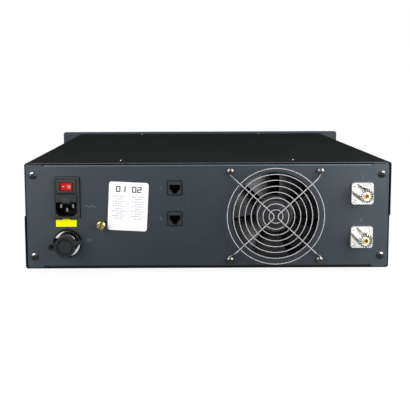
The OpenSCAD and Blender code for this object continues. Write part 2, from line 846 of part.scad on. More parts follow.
// An eight-way modular jack with its latch side down, face on z = 0
module modular_jack() {
  difference() {
    union() {
      linear_extrude(jack_face_t) rounded_rect(jack_w, jack_h, 0.6);
      translate([0, 0, -jack_depth]) linear_extrude(jack_depth + jack_face_t / 2)
        square([jack_body_w, jack_body_h], center = true);
    }
    translate([0, 0, -port_depth]) linear_extrude(port_depth + jack_face_t + over) {
      translate([-port_w / 2, port_top - port_h]) square([port_w, port_h]);
      translate([-4.4, port_top - port_h - 2.4]) square([8.8, 3]);
      translate([-2.5, port_top - port_h - 4.6]) square([5, 3]);
    }
  }
}

// The eight wires under the roof of a jack
module jack_wires() {
  for (i = [-3.5 : 1 : 3.5]) translate([i * 1.02 - wire_t / 2, port_top - wire_t, -port_depth])
    cube([wire_t, wire_t, port_depth - 2]);
}

module data_jack_upper() {
  color(plastic_black) on_rear(-jack_x, jack_high) modular_jack();
}

module data_jack_lower() {
  color(plastic_black) on_rear(-jack_x, jack_low) modular_jack();
}

module microphone_jack() {
  color(plastic_black) on_front(mic_x, mic_z) modular_jack();
}

module jack_contacts() {
  color(gold) {
    for (z = [jack_low, jack_high]) on_rear(-jack_x, z) jack_wires();
    on_front(mic_x, mic_z) jack_wires();
  }
}

// The fan frame: two square flanges, a round duct between them, and a motor base on four struts
module fan_frame() {
  edge_r = 6;
  step = panel_t;
  duct_wall = 1.5;
  base_z = -fan_back + motor_base_t;
  color(plastic_black) on_rear(fan_x, 0) difference() {
    union() {
      difference() {
        union() {
          translate([0, 0, -panel_t - step]) linear_extrude(step)
            rounded_rect(fan_w - 2 * step, fan_w - 2 * step, edge_r);
          translate([0, 0, -panel_t - fan_flange]) linear_extrude(fan_flange - step)
            rounded_rect(fan_w, fan_w, edge_r);
          translate([0, 0, -fan_back]) linear_extrude(fan_flange) rounded_rect(fan_w, fan_w, edge_r);
          translate([0, 0, -fan_back]) cylinder(d = duct_d + 2 * duct_wall, h = fan_depth);
        }
        translate([0, 0, -fan_back - over]) cylinder(d = duct_d, h = fan_depth + 2 * over);
      }
      translate([0, 0, -fan_back]) cylinder(d = hub_d, h = motor_base_t);
      translate([0, 0, -fan_back]) linear_extrude(motor_base_t)
        for (a = [20, 110]) rotate(a) square([duct_d + 1, 5], center = true);
      translate([0, 0, base_z - over]) cylinder(r = tube_r, h = fan_depth - hub_front - 12);
    }
    translate([0, 0, -fan_back - over]) cylinder(r = bush_r + screw_gap, h = fan_depth + over);
    translate([0, 0, -fan_back - over]) linear_extrude(fan_depth + 2 * over)
      at_corners(fan_holes, fan_holes) circle(d = fan_screw_d + 2 * screw_gap);
  }
}

// The winding core round the bearing tube, inside the hub
module fan_stator() {
  outer_r = hub_d / 2 - hub_skin - 2;
  height = 11;
  color([0.55, 0.3, 0.15]) on_rear(fan_x, 0) translate([0, 0, motor_base_t - fan_back]) difference() {
    cylinder(r = outer_r, h = height);
    translate([0, 0, -over]) cylinder(r = tube_r + screw_gap, h = height + 2 * over);
    for (a = [0 : 90 : 270]) rotate(a) translate([outer_r, 0, -over]) cylinder(r = 4, h = height + 2 * over);
  }
}

module fan_bearing() {
  color(brass) on_rear(fan_x, 0) translate([0, 0, motor_base_t - fan_back]) difference() {
    cylinder(r = bush_r, h = 14);
    translate([0, 0, -over]) cylinder(d = shaft_d + 2 * running_gap, h = 14 + 2 * over);
  }
}

// A point on one side of a blade. u runs from root to tip and c across the blade, both from 0 to 1.
// The edge at c = 1 is nearest the panel. The blade is skewed, and flatter towards its tip
function blade_point(u, c, side) =
  let (root_r = hub_d / 2 - 1)
  let (r = root_r + u * (tip_r - root_r))
  let (angle = 360 / blade_count * blade_share * (c - 0.5) + 8 * u)
  let (depth = blade_depth * (1 - 0.3 * u))
  let (z = -hub_front - 2.5 - depth * (1 - c) - 1.5 * sin(180 * c) + side * blade_t / 2)
  [r * cos(angle), r * sin(angle), z];

module fan_blade() {
  nu = 7;
  nc = 7;
  row = nc + 1;
  skin = (nu + 1) * row;
  points = [for (side = [-1, 1], i = [0 : nu], j = [0 : nc]) blade_point(i / nu, j / nc, side)];
  low = [for (i = [0 : nu - 1], j = [0 : nc - 1]) let (p = i * row + j)
    each [[p, p + row, p + 1], [p + 1, p + row, p + row + 1]]];
  high = [for (f = low) [f[0] + skin, f[2] + skin, f[1] + skin]];
  ends = [for (i = [0 : nu - 1], j = [0, nc]) let (p = i * row + j, q = p + row)
    each j == 0 ? [[p, p + skin, q], [q, p + skin, q + skin]] : [[p, q, p + skin], [q, q + skin, p + skin]]];
  sides = [for (j = [0 : nc - 1], i = [0, nu]) let (p = i * row + j, q = p + 1)
    each i == 0 ? [[p, q, p + skin], [q, q + skin, p + skin]] : [[p, p + skin, q], [q, p + skin, q + skin]]];
  polyhedron(points, concat(low, high, ends, sides));
}

module fan_rotor() {
  color([0.16, 0.16, 0.17]) on_rear(fan_x, 0) {
    difference() {
      translate([0, 0, -hub_front - hub_depth]) cylinder(d = hub_d, h = hub_depth);
      difference() {
        translate([0, 0, -hub_front - hub_depth - over])
          cylinder(d = hub_d - 2 * hub_skin, h = hub_depth - hub_skin + over);
        translate([0, 0, -hub_front - hub_skin - 4]) cylinder(r = 4, h = 5);
      }
      translate([0, 0, -hub_front - hub_skin - 5]) cylinder(d = shaft_d + 0.04, h = 6);
    }
    for (i = [0 : blade_count - 1]) rotate(360 / blade_count * i + 4) fan_blade();
  }
}

module fan_shaft() {
  color(steel) on_rear(fan_x, 0) translate([0, 0, motor_base_t - fan_back + 1])
    cylinder(d = shaft_d, h = fan_back - motor_base_t - 1 - hub_front - 1.5);
}

// A point turned about the z axis
function turned(p, a) = [p[0] * cos(a) - p[1] * sin(a), p[0] * sin(a) + p[1] * cos(a), p[2]];

// The points of one leg of a hairpin wire along x: over the rings, down to the panel, and round the screw
function leg_points(finish) =
  let (bend = spoke_wire * 1.5, low = spoke_wire / 2, slope = 45, steps = 4, end_x = finish - eye_run)
  let (run = 2 * bend * sin(slope) + guard_lift - low - 2 * bend * (1 - cos(slope)))
  let (step_x = end_x - run)
  concat(
    [for (i = [0 : steps]) let (a = slope * i / steps)
      [step_x + bend * sin(a), 0, guard_lift - bend * (1 - cos(a))]],
    [for (i = [steps : -1 : 0]) let (a = slope * i / steps)
      [end_x - bend * sin(a), 0, low + bend * (1 - cos(a))]],
    [for (i = [0 : 14]) let (a = 20 * i - 90) [finish + eye_r * cos(a), eye_r + eye_r * sin(a), low]]);

// The points of a hairpin wire. Each leg passes its screw on the side and curls round it
function hairpin_points() =
  let (half = 45 - asin(eye_r / spoke_r), steps = 8)
  let (leg = [for (p = leg_points(sqrt(pow(spoke_r, 2) - pow(eye_r, 2)))) turned(p, half)])
  let (last = len(leg) - 1)
  concat(
    [for (i = [last : -1 : 0]) [leg[i][0], -leg[i][1], leg[i][2]]],
    [for (i = [0 : steps]) let (a = 270 - half - (180 - 2 * half) * i / steps)
      [hairpin_r / sin(half) + hairpin_r * cos(a), hairpin_r * sin(a), guard_lift]],
    leg);

// A round wire swept along points, none of which climbs straight up
module swept_wire(points, d, sides = 10) {
  last = len(points) - 1;
  function ahead(i) = points[min(i + 1, last)] - points[max(i - 1, 0)];
  function unit(v) = v / norm(v);
  skin = [for (i = [0 : last]) let (t = unit(ahead(i)), n = unit(cross([0, 0, 1], t)), b = cross(t, n))
    each [for (k = [0 : sides - 1]) let (a = 360 * k / sides) points[i] + d / 2 * (cos(a) * n + sin(a) * b)]];
  walls = [for (i = [0 : last - 1], k = [0 : sides - 1])
    let (a = i * sides + k, b = i * sides + (k + 1) % sides)
    each [[a, a + sides, b + sides], [a, b + sides, b]]];
  start = [for (k = [0 : sides - 1]) k];
  finish = [for (k = [sides - 1 : -1 : 0]) last * sides + k];
  polyhedron(skin, concat(walls, [start, finish]));
}

// Eight rings that lie under two hairpin wires, each wire a solid of its own
module finger_guard() {
  ring_z = guard_lift - (ring_wire + spoke_wire) / 2 - screw_gap;
  color(chrome) on_rear(fan_x, 0) {
    for (i = [1 : ring_count]) translate([0, 0, ring_z]) rotate_extrude()
      translate([ring_first + (i - 1) * ring_pitch, 0]) circle(d = ring_wire);
    for (a = [0, 180]) rotate(a) swept_wire(hairpin_points(), spoke_wire);
  }
}

module fan_screws() {
  color(nickel) on_rear(fan_x, 0) at_corners(fan_holes, fan_holes) translate([0, 0, spoke_wire])
    pan_screw(fan_screw_d, spoke_wire + panel_t + fan_flange + screw_tail, fan_screw_head);
}

// A UHF socket: square flange with round corners, barrel with a notched rim, and a boss behind the panel
module antenna_socket() {
  corner_r = 3;
  rim = socket_front;
  difference() {
    union() {
      linear_extrude(socket_flange_t) rounded_rect(socket_flange, socket_flange, corner_r);
      cylinder(d = barrel_d, h = rim - 0.5);
      translate([0, 0, rim - 0.5]) cylinder(d1 = barrel_d, d2 = barrel_d - 1, h = 0.5);
      translate([0, 0, -panel_t - socket_boss_l])
        cylinder(r = socket_boss_r, h = panel_t + socket_boss_l + over);
    }
    translate([0, 0, bore_floor]) cylinder(d = insulator_d + 2 * screw_gap, h = rim);
    translate([0, 0, -panel_t - socket_boss_l - over]) cylinder(d = insulator_d - 2 + 2 * screw_gap, h = rim);
    for (i = [0 : notch_count / 2 - 1]) rotate(i * 360 / notch_count) translate([0, 0, rim])
      cube([barrel_d + 2 * over, 1.4, 2.6], center = true);
    translate([0, 0, -over]) linear_extrude(socket_flange_t + 2 * over)
      at_corners(socket_holes, socket_holes) circle(d = cover_screw_d + 2 * screw_gap);
  }
}

module antenna_socket_upper() {
  color(nickel) on_rear(antenna_x, antenna_z) antenna_socket();
}

module antenna_socket_lower() {
  color(nickel) on_rear(antenna_x, -antenna_z) antenna_socket();
}

module antenna_insulators() {
  tail = -panel_t - socket_boss_l;
  color([0.93, 0.93, 0.9]) for (s = [-1, 1]) on_rear(antenna_x, s * antenna_z) difference() {
    union() {
      translate([0, 0, bore_floor]) cylinder(d = insulator_d, h = socket_front - bore_floor - 1.2);
      translate([0, 0, tail]) cylinder(d = insulator_d - 2, h = bore_floor - tail + over);
    }
    translate([0, 0, tail - over]) cylinder(d = contact_d + 2 * screw_gap, h = socket_front - tail);
  }
}

module antenna_contacts() {
  front = socket_front - 1;
  color(gold) for (s = [-1, 1]) on_rear(antenna_x, s * antenna_z) difference() {
    translate([0, 0, -panel_t - contact_tail]) cylinder(d = contact_d, h = front + panel_t + contact_tail);
    translate([0, 0, front - 11]) cylinder(d = contact_hole, h = 11 + over);
    translate([0, 0, -panel_t - contact_tail - over]) cylinder(d = coax_d + 2 * screw_gap, h = 4 + over);
    for (a = [45, 135]) rotate(a) translate([0, 0, front]) cube([contact_d + over, 0.7, 8], center = true);
  }
}

module antenna_screws() {
  color(nickel) for (s = [-1, 1]) on_rear(antenna_x, s * antenna_z) at_corners(socket_holes, socket_holes)
    translate([0, 0, socket_flange_t]) pan_screw(cover_screw_d, socket_flange_t + panel_t + 3, 4.8);
}

// The openings of the front panel, as one flat pattern seen from the front
module front_openings() {
  slot_rows = 9;
  slot_pitch = 7;
  grille_r = speaker_d / 2 - 4;
  at_corners(rack_slot_x, rack_slot_z) slot(slot_length, slot_width);
  at_corners(2 * corner_x, handle_span) circle(d = handle_screw_d + 2 * screw_gap);
  translate([display_x, display_z]) square([display_w + 2 * fit_gap, display_h + 2 * fit_gap], center = true);
  for (i = [-1 : 1]) translate([display_x + i * key_pitch, key_z])
    square([key_w + 2 * move_gap, key_h + 2 * move_gap], center = true);
  for (i = [-1 : 1]) translate([light_x, display_z + i * light_pitch]) circle(d = light_d + 2 * fit_gap);
  for (x = [channel_x, volume_x]) translate([x, knob_z]) circle(d = bushing_d + 2 * screw_gap);
  translate([mic_x, mic_z]) square([jack_body_w + 2 * fit_gap, jack_body_h + 2 * fit_gap], center = true);
  for (i = [-4 : 4]) translate([speaker_x, i * slot_pitch])
    slot(2 * sqrt(max(pow(grille_r, 2) - pow(i * slot_pitch, 2), 25)), 3);
}

module front_panel() {
  color(panel_grey) on_front() translate([0, 0, -front_t]) linear_extrude(front_t) difference() {
    rounded_rect(rack_w, front_h, front_r);
    front_openings();
  }
}

// A round bar handle with tapped feet
module handle() {
  leg = handle_reach - handle_d / 2 - handle_bend;
  for (s = [0, 1]) mirror([0, s, 0]) translate([0, handle_span / 2, 0]) {
    difference() {
      cylinder(d = handle_d, h = leg);
      translate([0, 0, -over]) cylinder(d = handle_screw_d + 2 * screw_gap, h = 12 + over);
    }
    translate([0, -handle_bend, leg]) rotate([90, 0, 90]) rotate_extrude(angle = 90)
      translate([handle_bend, 0]) circle(d = handle_d);
  }
  translate([0, 0, handle_reach - handle_d / 2]) rotate([90, 0, 0])
    cylinder(d = handle_d, h = handle_span - 2 * handle_bend, center = true);
}

module handle_left() {
  color(chrome) on_front(corner_x, 0) handle();
}

module handle_right() {
  color(chrome) on_front(-corner_x, 0) handle();
}

module handle_screws() {
  grip = 10;
  color(steel) on_front() at_corners(2 * corner_x, handle_span)
    translate([0, 0, -front_t - 2 * panel_t]) mirror([0, 0, 1])
      pan_screw(handle_screw_d, front_t + 2 * panel_t + grip, handle_screw_d * 1.8);
}

module display_window() {
  color([0.08, 0.1, 0.09]) on_front(display_x, display_z) translate([0, 0, -window_t])
    linear_extrude(window_t) rounded_rect(display_w, display_h, 1);
}

// The board behind the front panel, with its spacers, the display and one switch under each key
module front_board() {
  face = -front_t - board_set;
  post_x = board_w / 2 - 5;
  post_z = board_h / 2 - 5;
  switch_top = -front_t - move_gap - key_lip - key_travel - move_gap - fit_gap;
  color(board_green) on_front(board_x, 0) {
    translate([0, 0, face - board_t]) linear_extrude(board_t) square([board_w, board_h], center = true);
    translate([0, 0, face - over / 2]) linear_extrude(board_set + over / 2)
      at_corners(2 * post_x, 2 * post_z) circle(d = 6);
    translate([display_x - board_x, display_z, face - over / 2])
      linear_extrude(front_t + board_set - window_t + over / 2)
        square([display_w - 6, display_h - 4], center = true);
    for (i = [-1 : 1]) translate([display_x - board_x + i * key_pitch, key_z, face - over / 2])
      linear_extrude(switch_top - face + over / 2) square(6, center = true);
  }
}

// A knob with finger scallops and a pointer groove, its back just clear of the panel
module knob(d) {
  scallops = 18;
  skirt = 3;
  crown = 1;
  difference() {
    translate([0, 0, knob_gap]) {
      cylinder(d = d, h = skirt);
      linear_extrude(knob_h - crown) difference() {
        circle(d = d - 3);
        for (i = [0 : scallops - 1]) rotate((i + 0.5) * 360 / scallops) translate([d / 2 - 1, 0]) circle(1.2);
      }
      translate([0, 0, knob_h - crown - 0.1]) cylinder(d = d - 6, h = crown + 0.1);
    }
    cylinder(d = bushing_d + 3, h = knob_pocket);
    cylinder(d = control_shaft_d + 2 * screw_gap, h = knob_h - 2);
    translate([0, d / 2 - 5, knob_gap + knob_h]) cube([1.2, 6, 1.2], center = true);
  }
}

// The turning shaft of a control
module control_shaft() {
  translate([0, 0, -front_t - control_t + 3])
    cylinder(d = control_shaft_d, h = front_t + control_t - 3 + knob_h - 3);
}

// The fixed body of a control, with its bushing through the panel
module control_body() {
  difference() {
    union() {
      translate([0, 0, -front_t - control_t]) linear_extrude(control_t) rounded_rect(control_w, control_w, 1);
      translate([0, 0, -front_t - over]) cylinder(d = bushing_d, h = front_t + bushing_l + over);
    }
    translate([0, 0, -front_t - control_t + 2.5])
      cylinder(d = control_shaft_d + 2 * running_gap, h = front_t + control_t + bushing_l);
  }
}

module channel_knob() {
  color(plastic_black) on_front(channel_x, knob_z) knob(channel_knob_d);
}

module channel_shaft() {
  color(steel) on_front(channel_x, knob_z) control_shaft();
}

module channel_encoder() {
  color(steel) on_front(channel_x, knob_z) control_body();
}

module volume_knob() {
  color(plastic_black) on_front(volume_x, knob_z) knob(volume_knob_d);
}

module volume_shaft() {
  color(steel) on_front(volume_x, knob_z) control_shaft();
}

module volume_control() {
  color(steel) on_front(volume_x, knob_z) control_body();
}

// A push key: a cap through the panel and a lip behind it
module push_key() {
  lip_w = 1.2;
  color([0.2, 0.21, 0.22]) {
    translate([0, 0, -front_t - move_gap - key_lip / 2])
      linear_extrude(front_t + move_gap + key_lip / 2 + key_proud) rounded_rect(key_w, key_h, 1);
    translate([0, 0, -front_t - move_gap - key_lip]) linear_extrude(key_lip)
      rounded_rect(key_w + 2 * lip_w, key_h + 2 * lip_w, 1);
  }
}

module key_left() {
  on_front(display_x - key_pitch, key_z) push_key();
}

module key_middle() {
  on_front(display_x, key_z) push_key();
}

module key_right() {
  on_front(display_x + key_pitch, key_z) push_key();
}

module status_lights() {
  root = -front_t - board_set;
  color([0.2, 0.65, 0.3]) for (i = [-1 : 1]) on_front(light_x, display_z + i * light_pitch) {
    translate([0, 0, root]) cylinder(d = light_d, h = -root);
    sphere(d = light_d);
    translate([0, 0, root]) cylinder(d = light_d + 1, h = 1);
  }
}

// The loudspeaker behind the grille: basket, cone and magnet, turned in one profile
module speaker() {
  r = speaker_d / 2;
  color([0.1, 0.1, 0.1]) on_front(speaker_x, 0) translate([0, 0, -front_t]) rotate_extrude() polygon([
    [0, -9], [8, -12], [10, -13], [r - 5, -3], [r - 3, -1.5], [r - 2, 0], [r, 0], [r, -1.5], [r - 2, -3],
    [r * 0.6, -15], [r * 0.6, -18], [r * 0.55, -18], [r * 0.55, -27], [0, -27]]);
}

// A shielded box with a lid that laps over its walls, standing on z = 0
module shielded_box(w, d, h) {
  lap = 8;
  lid = 1.2;
  translate([0, 0, (h - lid) / 2]) cube([w - 2 * lid, d - 2 * lid, h - lid], center = true);
  translate([0, 0, h - lap / 2]) cube([w, d, lap], center = true);
}

module power_supply() {
  slots = 9;
  color(aluminium) translate([supply_x, supply_y + supply_d / 2, floor_z]) difference() {
    union() {
      shielded_box(supply_w, supply_d, supply_h);
      translate([0, -supply_d / 2 - 3, 12]) cube([supply_w * 0.7, 10, 14], center = true);
    }
    for (i = [1 - slots : 2 : slots - 1]) translate([0, i * 8, supply_h])
      linear_extrude(3, center = true) slot(supply_w * 0.7, 4);
  }
}

module transmitter_module() {
  color(aluminium) translate([transmitter_x, transmitter_y + transmitter_d / 2, floor_z]) {
    shielded_box(transmitter_w, transmitter_d, transmitter_h);
    translate([transmitter_w / 2 - 2, plug_set - transmitter_d / 2, lead_z]) rotate([0, 90, 0])
      cylinder(d = plug_d, h = plug_d);
  }
}

module heat_sink() {
  gap = (transmitter_w - fin_t) / (fin_count - 1);
  color(aluminium) translate([transmitter_x - transmitter_w / 2, transmitter_y, floor_z + transmitter_h]) {
    cube([transmitter_w, transmitter_d, sink_base]);
    for (i = [0 : fin_count - 1]) translate([i * gap, 0, sink_base / 2])
      cube([fin_t, transmitter_d, fin_h + sink_base / 2]);
  }
}

module receiver_module() {
  color(aluminium) translate([receiver_x, receiver_y + receiver_d / 2, floor_z]) {
    shielded_box(receiver_w, receiver_d, receiver_h);
    translate([0, receiver_d / 2 - 2, mid_z - antenna_z - floor_z]) rotate([-90, 0, 0])
      cylinder(d = plug_d, h = plug_d);
  }
}

// The control board on its spacers, with chips, a relay and two connectors
module logic_board() {
  w = 150;
  d = 70;
  stand = 8;
  color(board_green) translate([0, front_y - 35 - d / 2, floor_z]) {
    translate([0, 0, stand]) linear_extrude(board_t) square([w, d], center = true);
    linear_extrude(stand + over / 2) at_corners(w - 10, d - 10) circle(d = 6);
    translate([0, 0, stand + board_t / 2]) {
      translate([-45, 10, 0]) linear_extrude(4) square([24, 24], center = true);
      translate([0, -12, 0]) linear_extrude(3.4) square([18, 12], center = true);
      translate([45, 14, 0]) linear_extrude(16) square([28, 13], center = true);
      for (x = [-30, 30]) translate([x, -28, 0]) linear_extrude(9) square([26, 7], center = true);
      for (x = [10, 22, 34]) translate([x, -8, 0]) cylinder(d = 8, h = 14);
    }
  }
}

// A tube along straight runs that meet at right angles, each corner a quarter ring
module tube_run(points, d, bend) {
  last = len(points) - 1;
  function along(i) = (points[i + 1] - points[i]) / norm(points[i + 1] - points[i]);
  for (i = [0 : last - 1]) {
    a = along(i);
    from = points[i] + (i == 0 ? 0 : bend) * a;
    length = norm(points[i + 1] - points[i]) - (i == 0 ? 0 : bend) - (i == last - 1 ? 0 : bend);
    translate(from) rotate([0, acos(a[2]), atan2(a[1], a[0])]) cylinder(d = d, h = length);
  }
  for (i = [1 : last - 1]) {
    a = along(i - 1);
    b = along(i);
    n = cross(a, b);
    c = points[i] + (b - a) * bend;
    multmatrix([[-b[0], a[0], n[0], c[0]], [-b[1], a[1], n[1], c[1]], [-b[2], a[2], n[2], c[2]]])
      rotate_extrude(angle = 90) translate([bend, 0]) circle(d = d);
  }
}

module coax_leads() {
  start_y = rear_y + panel_t + contact_tail - 4;
  bend = 8;
  high = mid_z + antenna_z;
  low = mid_z - antenna_z;
  plug_y = transmitter_y + plug_set;
  plug_x = transmitter_x + transmitter_w / 2 + plug_d - 2;
  aisle_x = antenna_x - 2 * bend - 4;
  cross_y = transmitter_y + transmitter_d + 14;
  color(brass) {
    tube_run([[antenna_x, start_y, high], [antenna_x, plug_y, high], [antenna_x, plug_y, floor_z + lead_z],
      [plug_x, plug_y, floor_z + lead_z]], coax_d, bend);
    tube_run([[antenna_x, start_y, low], [antenna_x, start_y + 26, low], [aisle_x, start_y + 26, low],
      [aisle_x, cross_y, low], [receiver_x, cross_y, low],
      [receiver_x, receiver_y + receiver_d + plug_d - 2, low]], coax_d, bend);
  }
}

rear_panel();
front_subframe();
side_rail_left();
side_rail_right();
top_cover();
bottom_tray();
feet();
rear_panel_screws();
cover_screws();
inlet_body();
switch_frame();
rocker_switch();
fuse_drawer();
fuse();
inlet_pins();
dc_socket();
dc_insert();
dc_cap();
ground_post();
panel_nuts();
data_jack_upper();
data_jack_lower();
jack_contacts();
fan_frame();
fan_stator();
fan_bearing();
fan_rotor();
fan_shaft();
finger_guard();
fan_screws();
antenna_socket_upper();
antenna_socket_lower();
antenna_insulators();
antenna_contacts();
antenna_screws();
front_panel();
handle_left();
handle_right();
handle_screws();
display_window();
front_board();
channel_knob();
channel_shaft();
channel_encoder();
volume_knob();
volume_shaft();
volume_control();
key_left();
key_middle();
key_right();
status_lights();
microphone_jack();
speaker();
power_supply();
transmitter_module();
heat_sink();
receiver_module();
logic_board();
coax_leads();
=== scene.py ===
import json
import math

import bmesh
import bpy
import numpy as np
from mathutils import Matrix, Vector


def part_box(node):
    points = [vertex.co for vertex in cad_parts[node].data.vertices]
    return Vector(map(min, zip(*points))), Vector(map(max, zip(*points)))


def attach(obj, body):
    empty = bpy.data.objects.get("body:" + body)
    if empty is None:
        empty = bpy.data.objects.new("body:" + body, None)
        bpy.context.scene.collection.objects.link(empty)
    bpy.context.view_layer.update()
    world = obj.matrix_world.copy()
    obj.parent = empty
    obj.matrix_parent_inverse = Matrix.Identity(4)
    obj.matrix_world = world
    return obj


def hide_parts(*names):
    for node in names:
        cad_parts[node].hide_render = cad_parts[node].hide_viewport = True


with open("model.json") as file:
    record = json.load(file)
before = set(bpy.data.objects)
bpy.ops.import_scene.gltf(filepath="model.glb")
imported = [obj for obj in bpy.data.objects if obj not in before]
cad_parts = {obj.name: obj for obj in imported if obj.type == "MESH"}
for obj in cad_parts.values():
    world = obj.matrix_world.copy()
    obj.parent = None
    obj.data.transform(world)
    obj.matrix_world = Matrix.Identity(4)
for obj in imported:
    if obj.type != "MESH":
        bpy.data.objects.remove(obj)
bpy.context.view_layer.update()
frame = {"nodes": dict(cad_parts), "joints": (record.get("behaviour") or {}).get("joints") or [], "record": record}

bl_info = {
    "name": "Rack Radio Repeater",
    "version": (1, 0, 0),
    "blender": (4, 5, 0),
    "location": "View3D > Sidebar > Repeater",
    "description": "Dresses a rack radio repeater: finishes, wire guard, fan, labels, front marks and stage",
    "category": "Object",
}

MM = 0.001

# Heights in mm of print on a panel, from just under the paint to just over it
INK = (-0.02, 0.03)

# Width of one band of a wave texture whose scale is 1
WAVE_BAND = 0.314


def middle(node):
    """The middle of a CAD node's box, in metres."""
    low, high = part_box(node)
    return (low + high) / 2


REAR_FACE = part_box("rear_panel")[0].y
FRONT_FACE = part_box("front_panel")[1].y
MID_HEIGHT = middle("rear_panel").z
ROCKER = next(j for j in frame["joints"] if j["name"] == "rocker_tilt")


def spot(node):
    """Where a CAD node's middle lies, across and up, in metres."""
    return middle(node).x, middle(node).z


def span(node):
    """The width and height of a CAD node's box, in mm."""
    low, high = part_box(node)
    return (high.x - low.x) / MM, (high.z - low.z) / MM


def stands_out(node):
    """How far a CAD node stands out behind the rear panel, in mm."""
    return (REAR_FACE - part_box(node)[0].y) / MM


class RepeaterSizes(bpy.types.PropertyGroup):
    """Sizes of the dressed pieces that a user would change."""

    ring_count: bpy.props.IntProperty(
        name="Guard rings", description="Rings of the finger guard", default=8, min=4, max=8)
    ring_pitch: bpy.props.FloatProperty(
        name="Ring pitch", description="Distance from one guard ring to the next",
        default=0.0069, precision=4, unit="LENGTH")
    ring_first: bpy.props.FloatProperty(
        name="First ring", description="Radius of the innermost guard ring",
        default=0.008, precision=4, unit="LENGTH")
    ring_wire: bpy.props.FloatProperty(
        name="Ring wire", description="Wire diameter of the guard rings",
        default=0.00105, precision=5, unit="LENGTH")
    hairpin_wire: bpy.props.FloatProperty(
        name="Hairpin wire", description="Diameter of the two wires that carry the rings",
        default=0.0013, precision=5, unit="LENGTH")
    hairpin_bend: bpy.props.FloatProperty(
        name="Hairpin bend", description="Bend radius of the hairpin wires at the middle of the guard",
        default=0.005, precision=4, unit="LENGTH")
    screw_spacing: bpy.props.FloatProperty(
        name="Fan screw spacing", description="Distance between neighbouring fan screws",
        default=0.1048, precision=4, unit="LENGTH")
    blade_count: bpy.props.IntProperty(
        name="Blades", description="Blades of the fan", default=7, min=3, max=9)
    blade_depth: bpy.props.FloatProperty(
        name="Blade depth", description="Depth of a blade where it meets the hub",
        default=0.020, precision=4, unit="LENGTH")
    blade_thickness: bpy.props.FloatProperty(
        name="Blade thickness", description="Thickness of a blade",
        default=0.0016, precision=4, unit="LENGTH")
    thread_pitch: bpy.props.FloatProperty(
        name="Thread pitch", description="Pitch of the thread on the antenna sockets",
        default=0.00106, precision=5, unit="LENGTH")
    thread_height: bpy.props.FloatProperty(
        name="Thread height", description="Height of that thread above the barrel",
        default=0.0003, precision=5, unit="LENGTH")
    label_width: bpy.props.FloatProperty(
        name="Label width", description="Width of the paper label", default=0.046, precision=4, unit="LENGTH")
    label_height: bpy.props.FloatProperty(
        name="Label height", description="Height of the paper label",
        default=0.0572, precision=4, unit="LENGTH")
    label_turn: bpy.props.FloatProperty(
        name="Label turn", description="How far the label was stuck on askew, clockwise",
        default=math.radians(3.0), subtype="ANGLE")


class RepeaterColours(bpy.types.PropertyGroup):
    """Colours of the finishes, in linear light."""

    panel_paint: bpy.props.FloatVectorProperty(
        name="Panel paint", description="Blue-grey paint of both panels",
        default=(0.0233, 0.0297, 0.0363), min=0, max=1, subtype="COLOR")
    cover_paint: bpy.props.FloatVectorProperty(
        name="Cover paint", description="Black paint of the cover and tray",
        default=(0.0145, 0.0155, 0.0155), min=0, max=1, subtype="COLOR")
    black_plastic: bpy.props.FloatVectorProperty(
        name="Black plastic", description="Moulded housings and knobs",
        default=(0.0185, 0.0198, 0.0205), min=0, max=1, subtype="COLOR")
    fan_plastic: bpy.props.FloatVectorProperty(
        name="Fan plastic", description="Frame and impeller of the fan",
        default=(0.021, 0.0235, 0.025), min=0, max=1, subtype="COLOR")
    rocker_red: bpy.props.FloatVectorProperty(
        name="Rocker red", description="Red plastic of the mains rocker",
        default=(0.42, 0.014, 0.010), min=0, max=1, subtype="COLOR")
    label_paper: bpy.props.FloatVectorProperty(
        name="Label paper", description="Paper of the large label",
        default=(0.97, 0.97, 0.98), min=0, max=1, subtype="COLOR")
    sticker: bpy.props.FloatVectorProperty(
        name="Sticker", description="Film of the small sticker under the inlet",
        default=(0.86, 0.85, 0.002), min=0, max=1, subtype="COLOR")
    legend: bpy.props.FloatVectorProperty(
        name="Legend", description="Screen-printed marks on the panels",
        default=(0.16, 0.17, 0.18), min=0, max=1, subtype="COLOR")


class RepeaterStage(bpy.types.PropertyGroup):
    """Camera and light."""

    eye: bpy.props.FloatVectorProperty(
        name="Eye", description="Place of the camera",
        default=(-0.02449, -0.84192, 0.22725), subtype="XYZ", unit="LENGTH")
    tilt: bpy.props.FloatProperty(
        name="Tilt", description="How far the camera looks down",
        default=math.radians(4.793), subtype="ANGLE")
    roll: bpy.props.FloatProperty(
        name="Roll", description="How far the camera leans to its left",
        default=math.radians(-0.246), subtype="ANGLE")
    lens: bpy.props.FloatProperty(
        name="Lens", description="Focal length on a 36 mm frame", default=50.06, subtype="NONE")
    rise: bpy.props.FloatVectorProperty(
        name="Shift", description="Shift of the lens across and up, in frame widths",
        size=2, default=(0.0461, -0.19), subtype="NONE")
    key_power: bpy.props.FloatProperty(
        name="Left softbox", description="Power of the left softbox", default=5.5, unit="POWER")
    fill_power: bpy.props.FloatProperty(
        name="Right softbox", description="Power of the right softbox", default=6.5, unit="POWER")
    front_power: bpy.props.FloatProperty(
        name="Front softboxes", description="Power of each softbox on the front side",
        default=20.8, unit="POWER")
    room_light: bpy.props.FloatProperty(
        name="Room light", description="Strength of the light from all round", default=0.05)


def sizes():
    """The sizes set in the sidebar."""
    return bpy.context.scene.repeater_sizes


def colours():
    """The colours set in the sidebar."""
    return bpy.context.scene.repeater_colours


def on_rear(points, x, z):
    """Points in mm about a rear fitting, x right, y up and z out of the panel, carried into the frame."""
    p = np.asarray(points, float) * MM
    return np.stack([x + p[..., 0], REAR_FACE - p[..., 2], z + p[..., 1]], axis=-1)


def on_front(points, x, z):
    """Points in mm about a front fitting, x right as seen from the front, y up and z out, in the frame."""
    p = np.asarray(points, float) * MM
    return np.stack([x - p[..., 0], FRONT_FACE + p[..., 2], z + p[..., 1]], axis=-1)


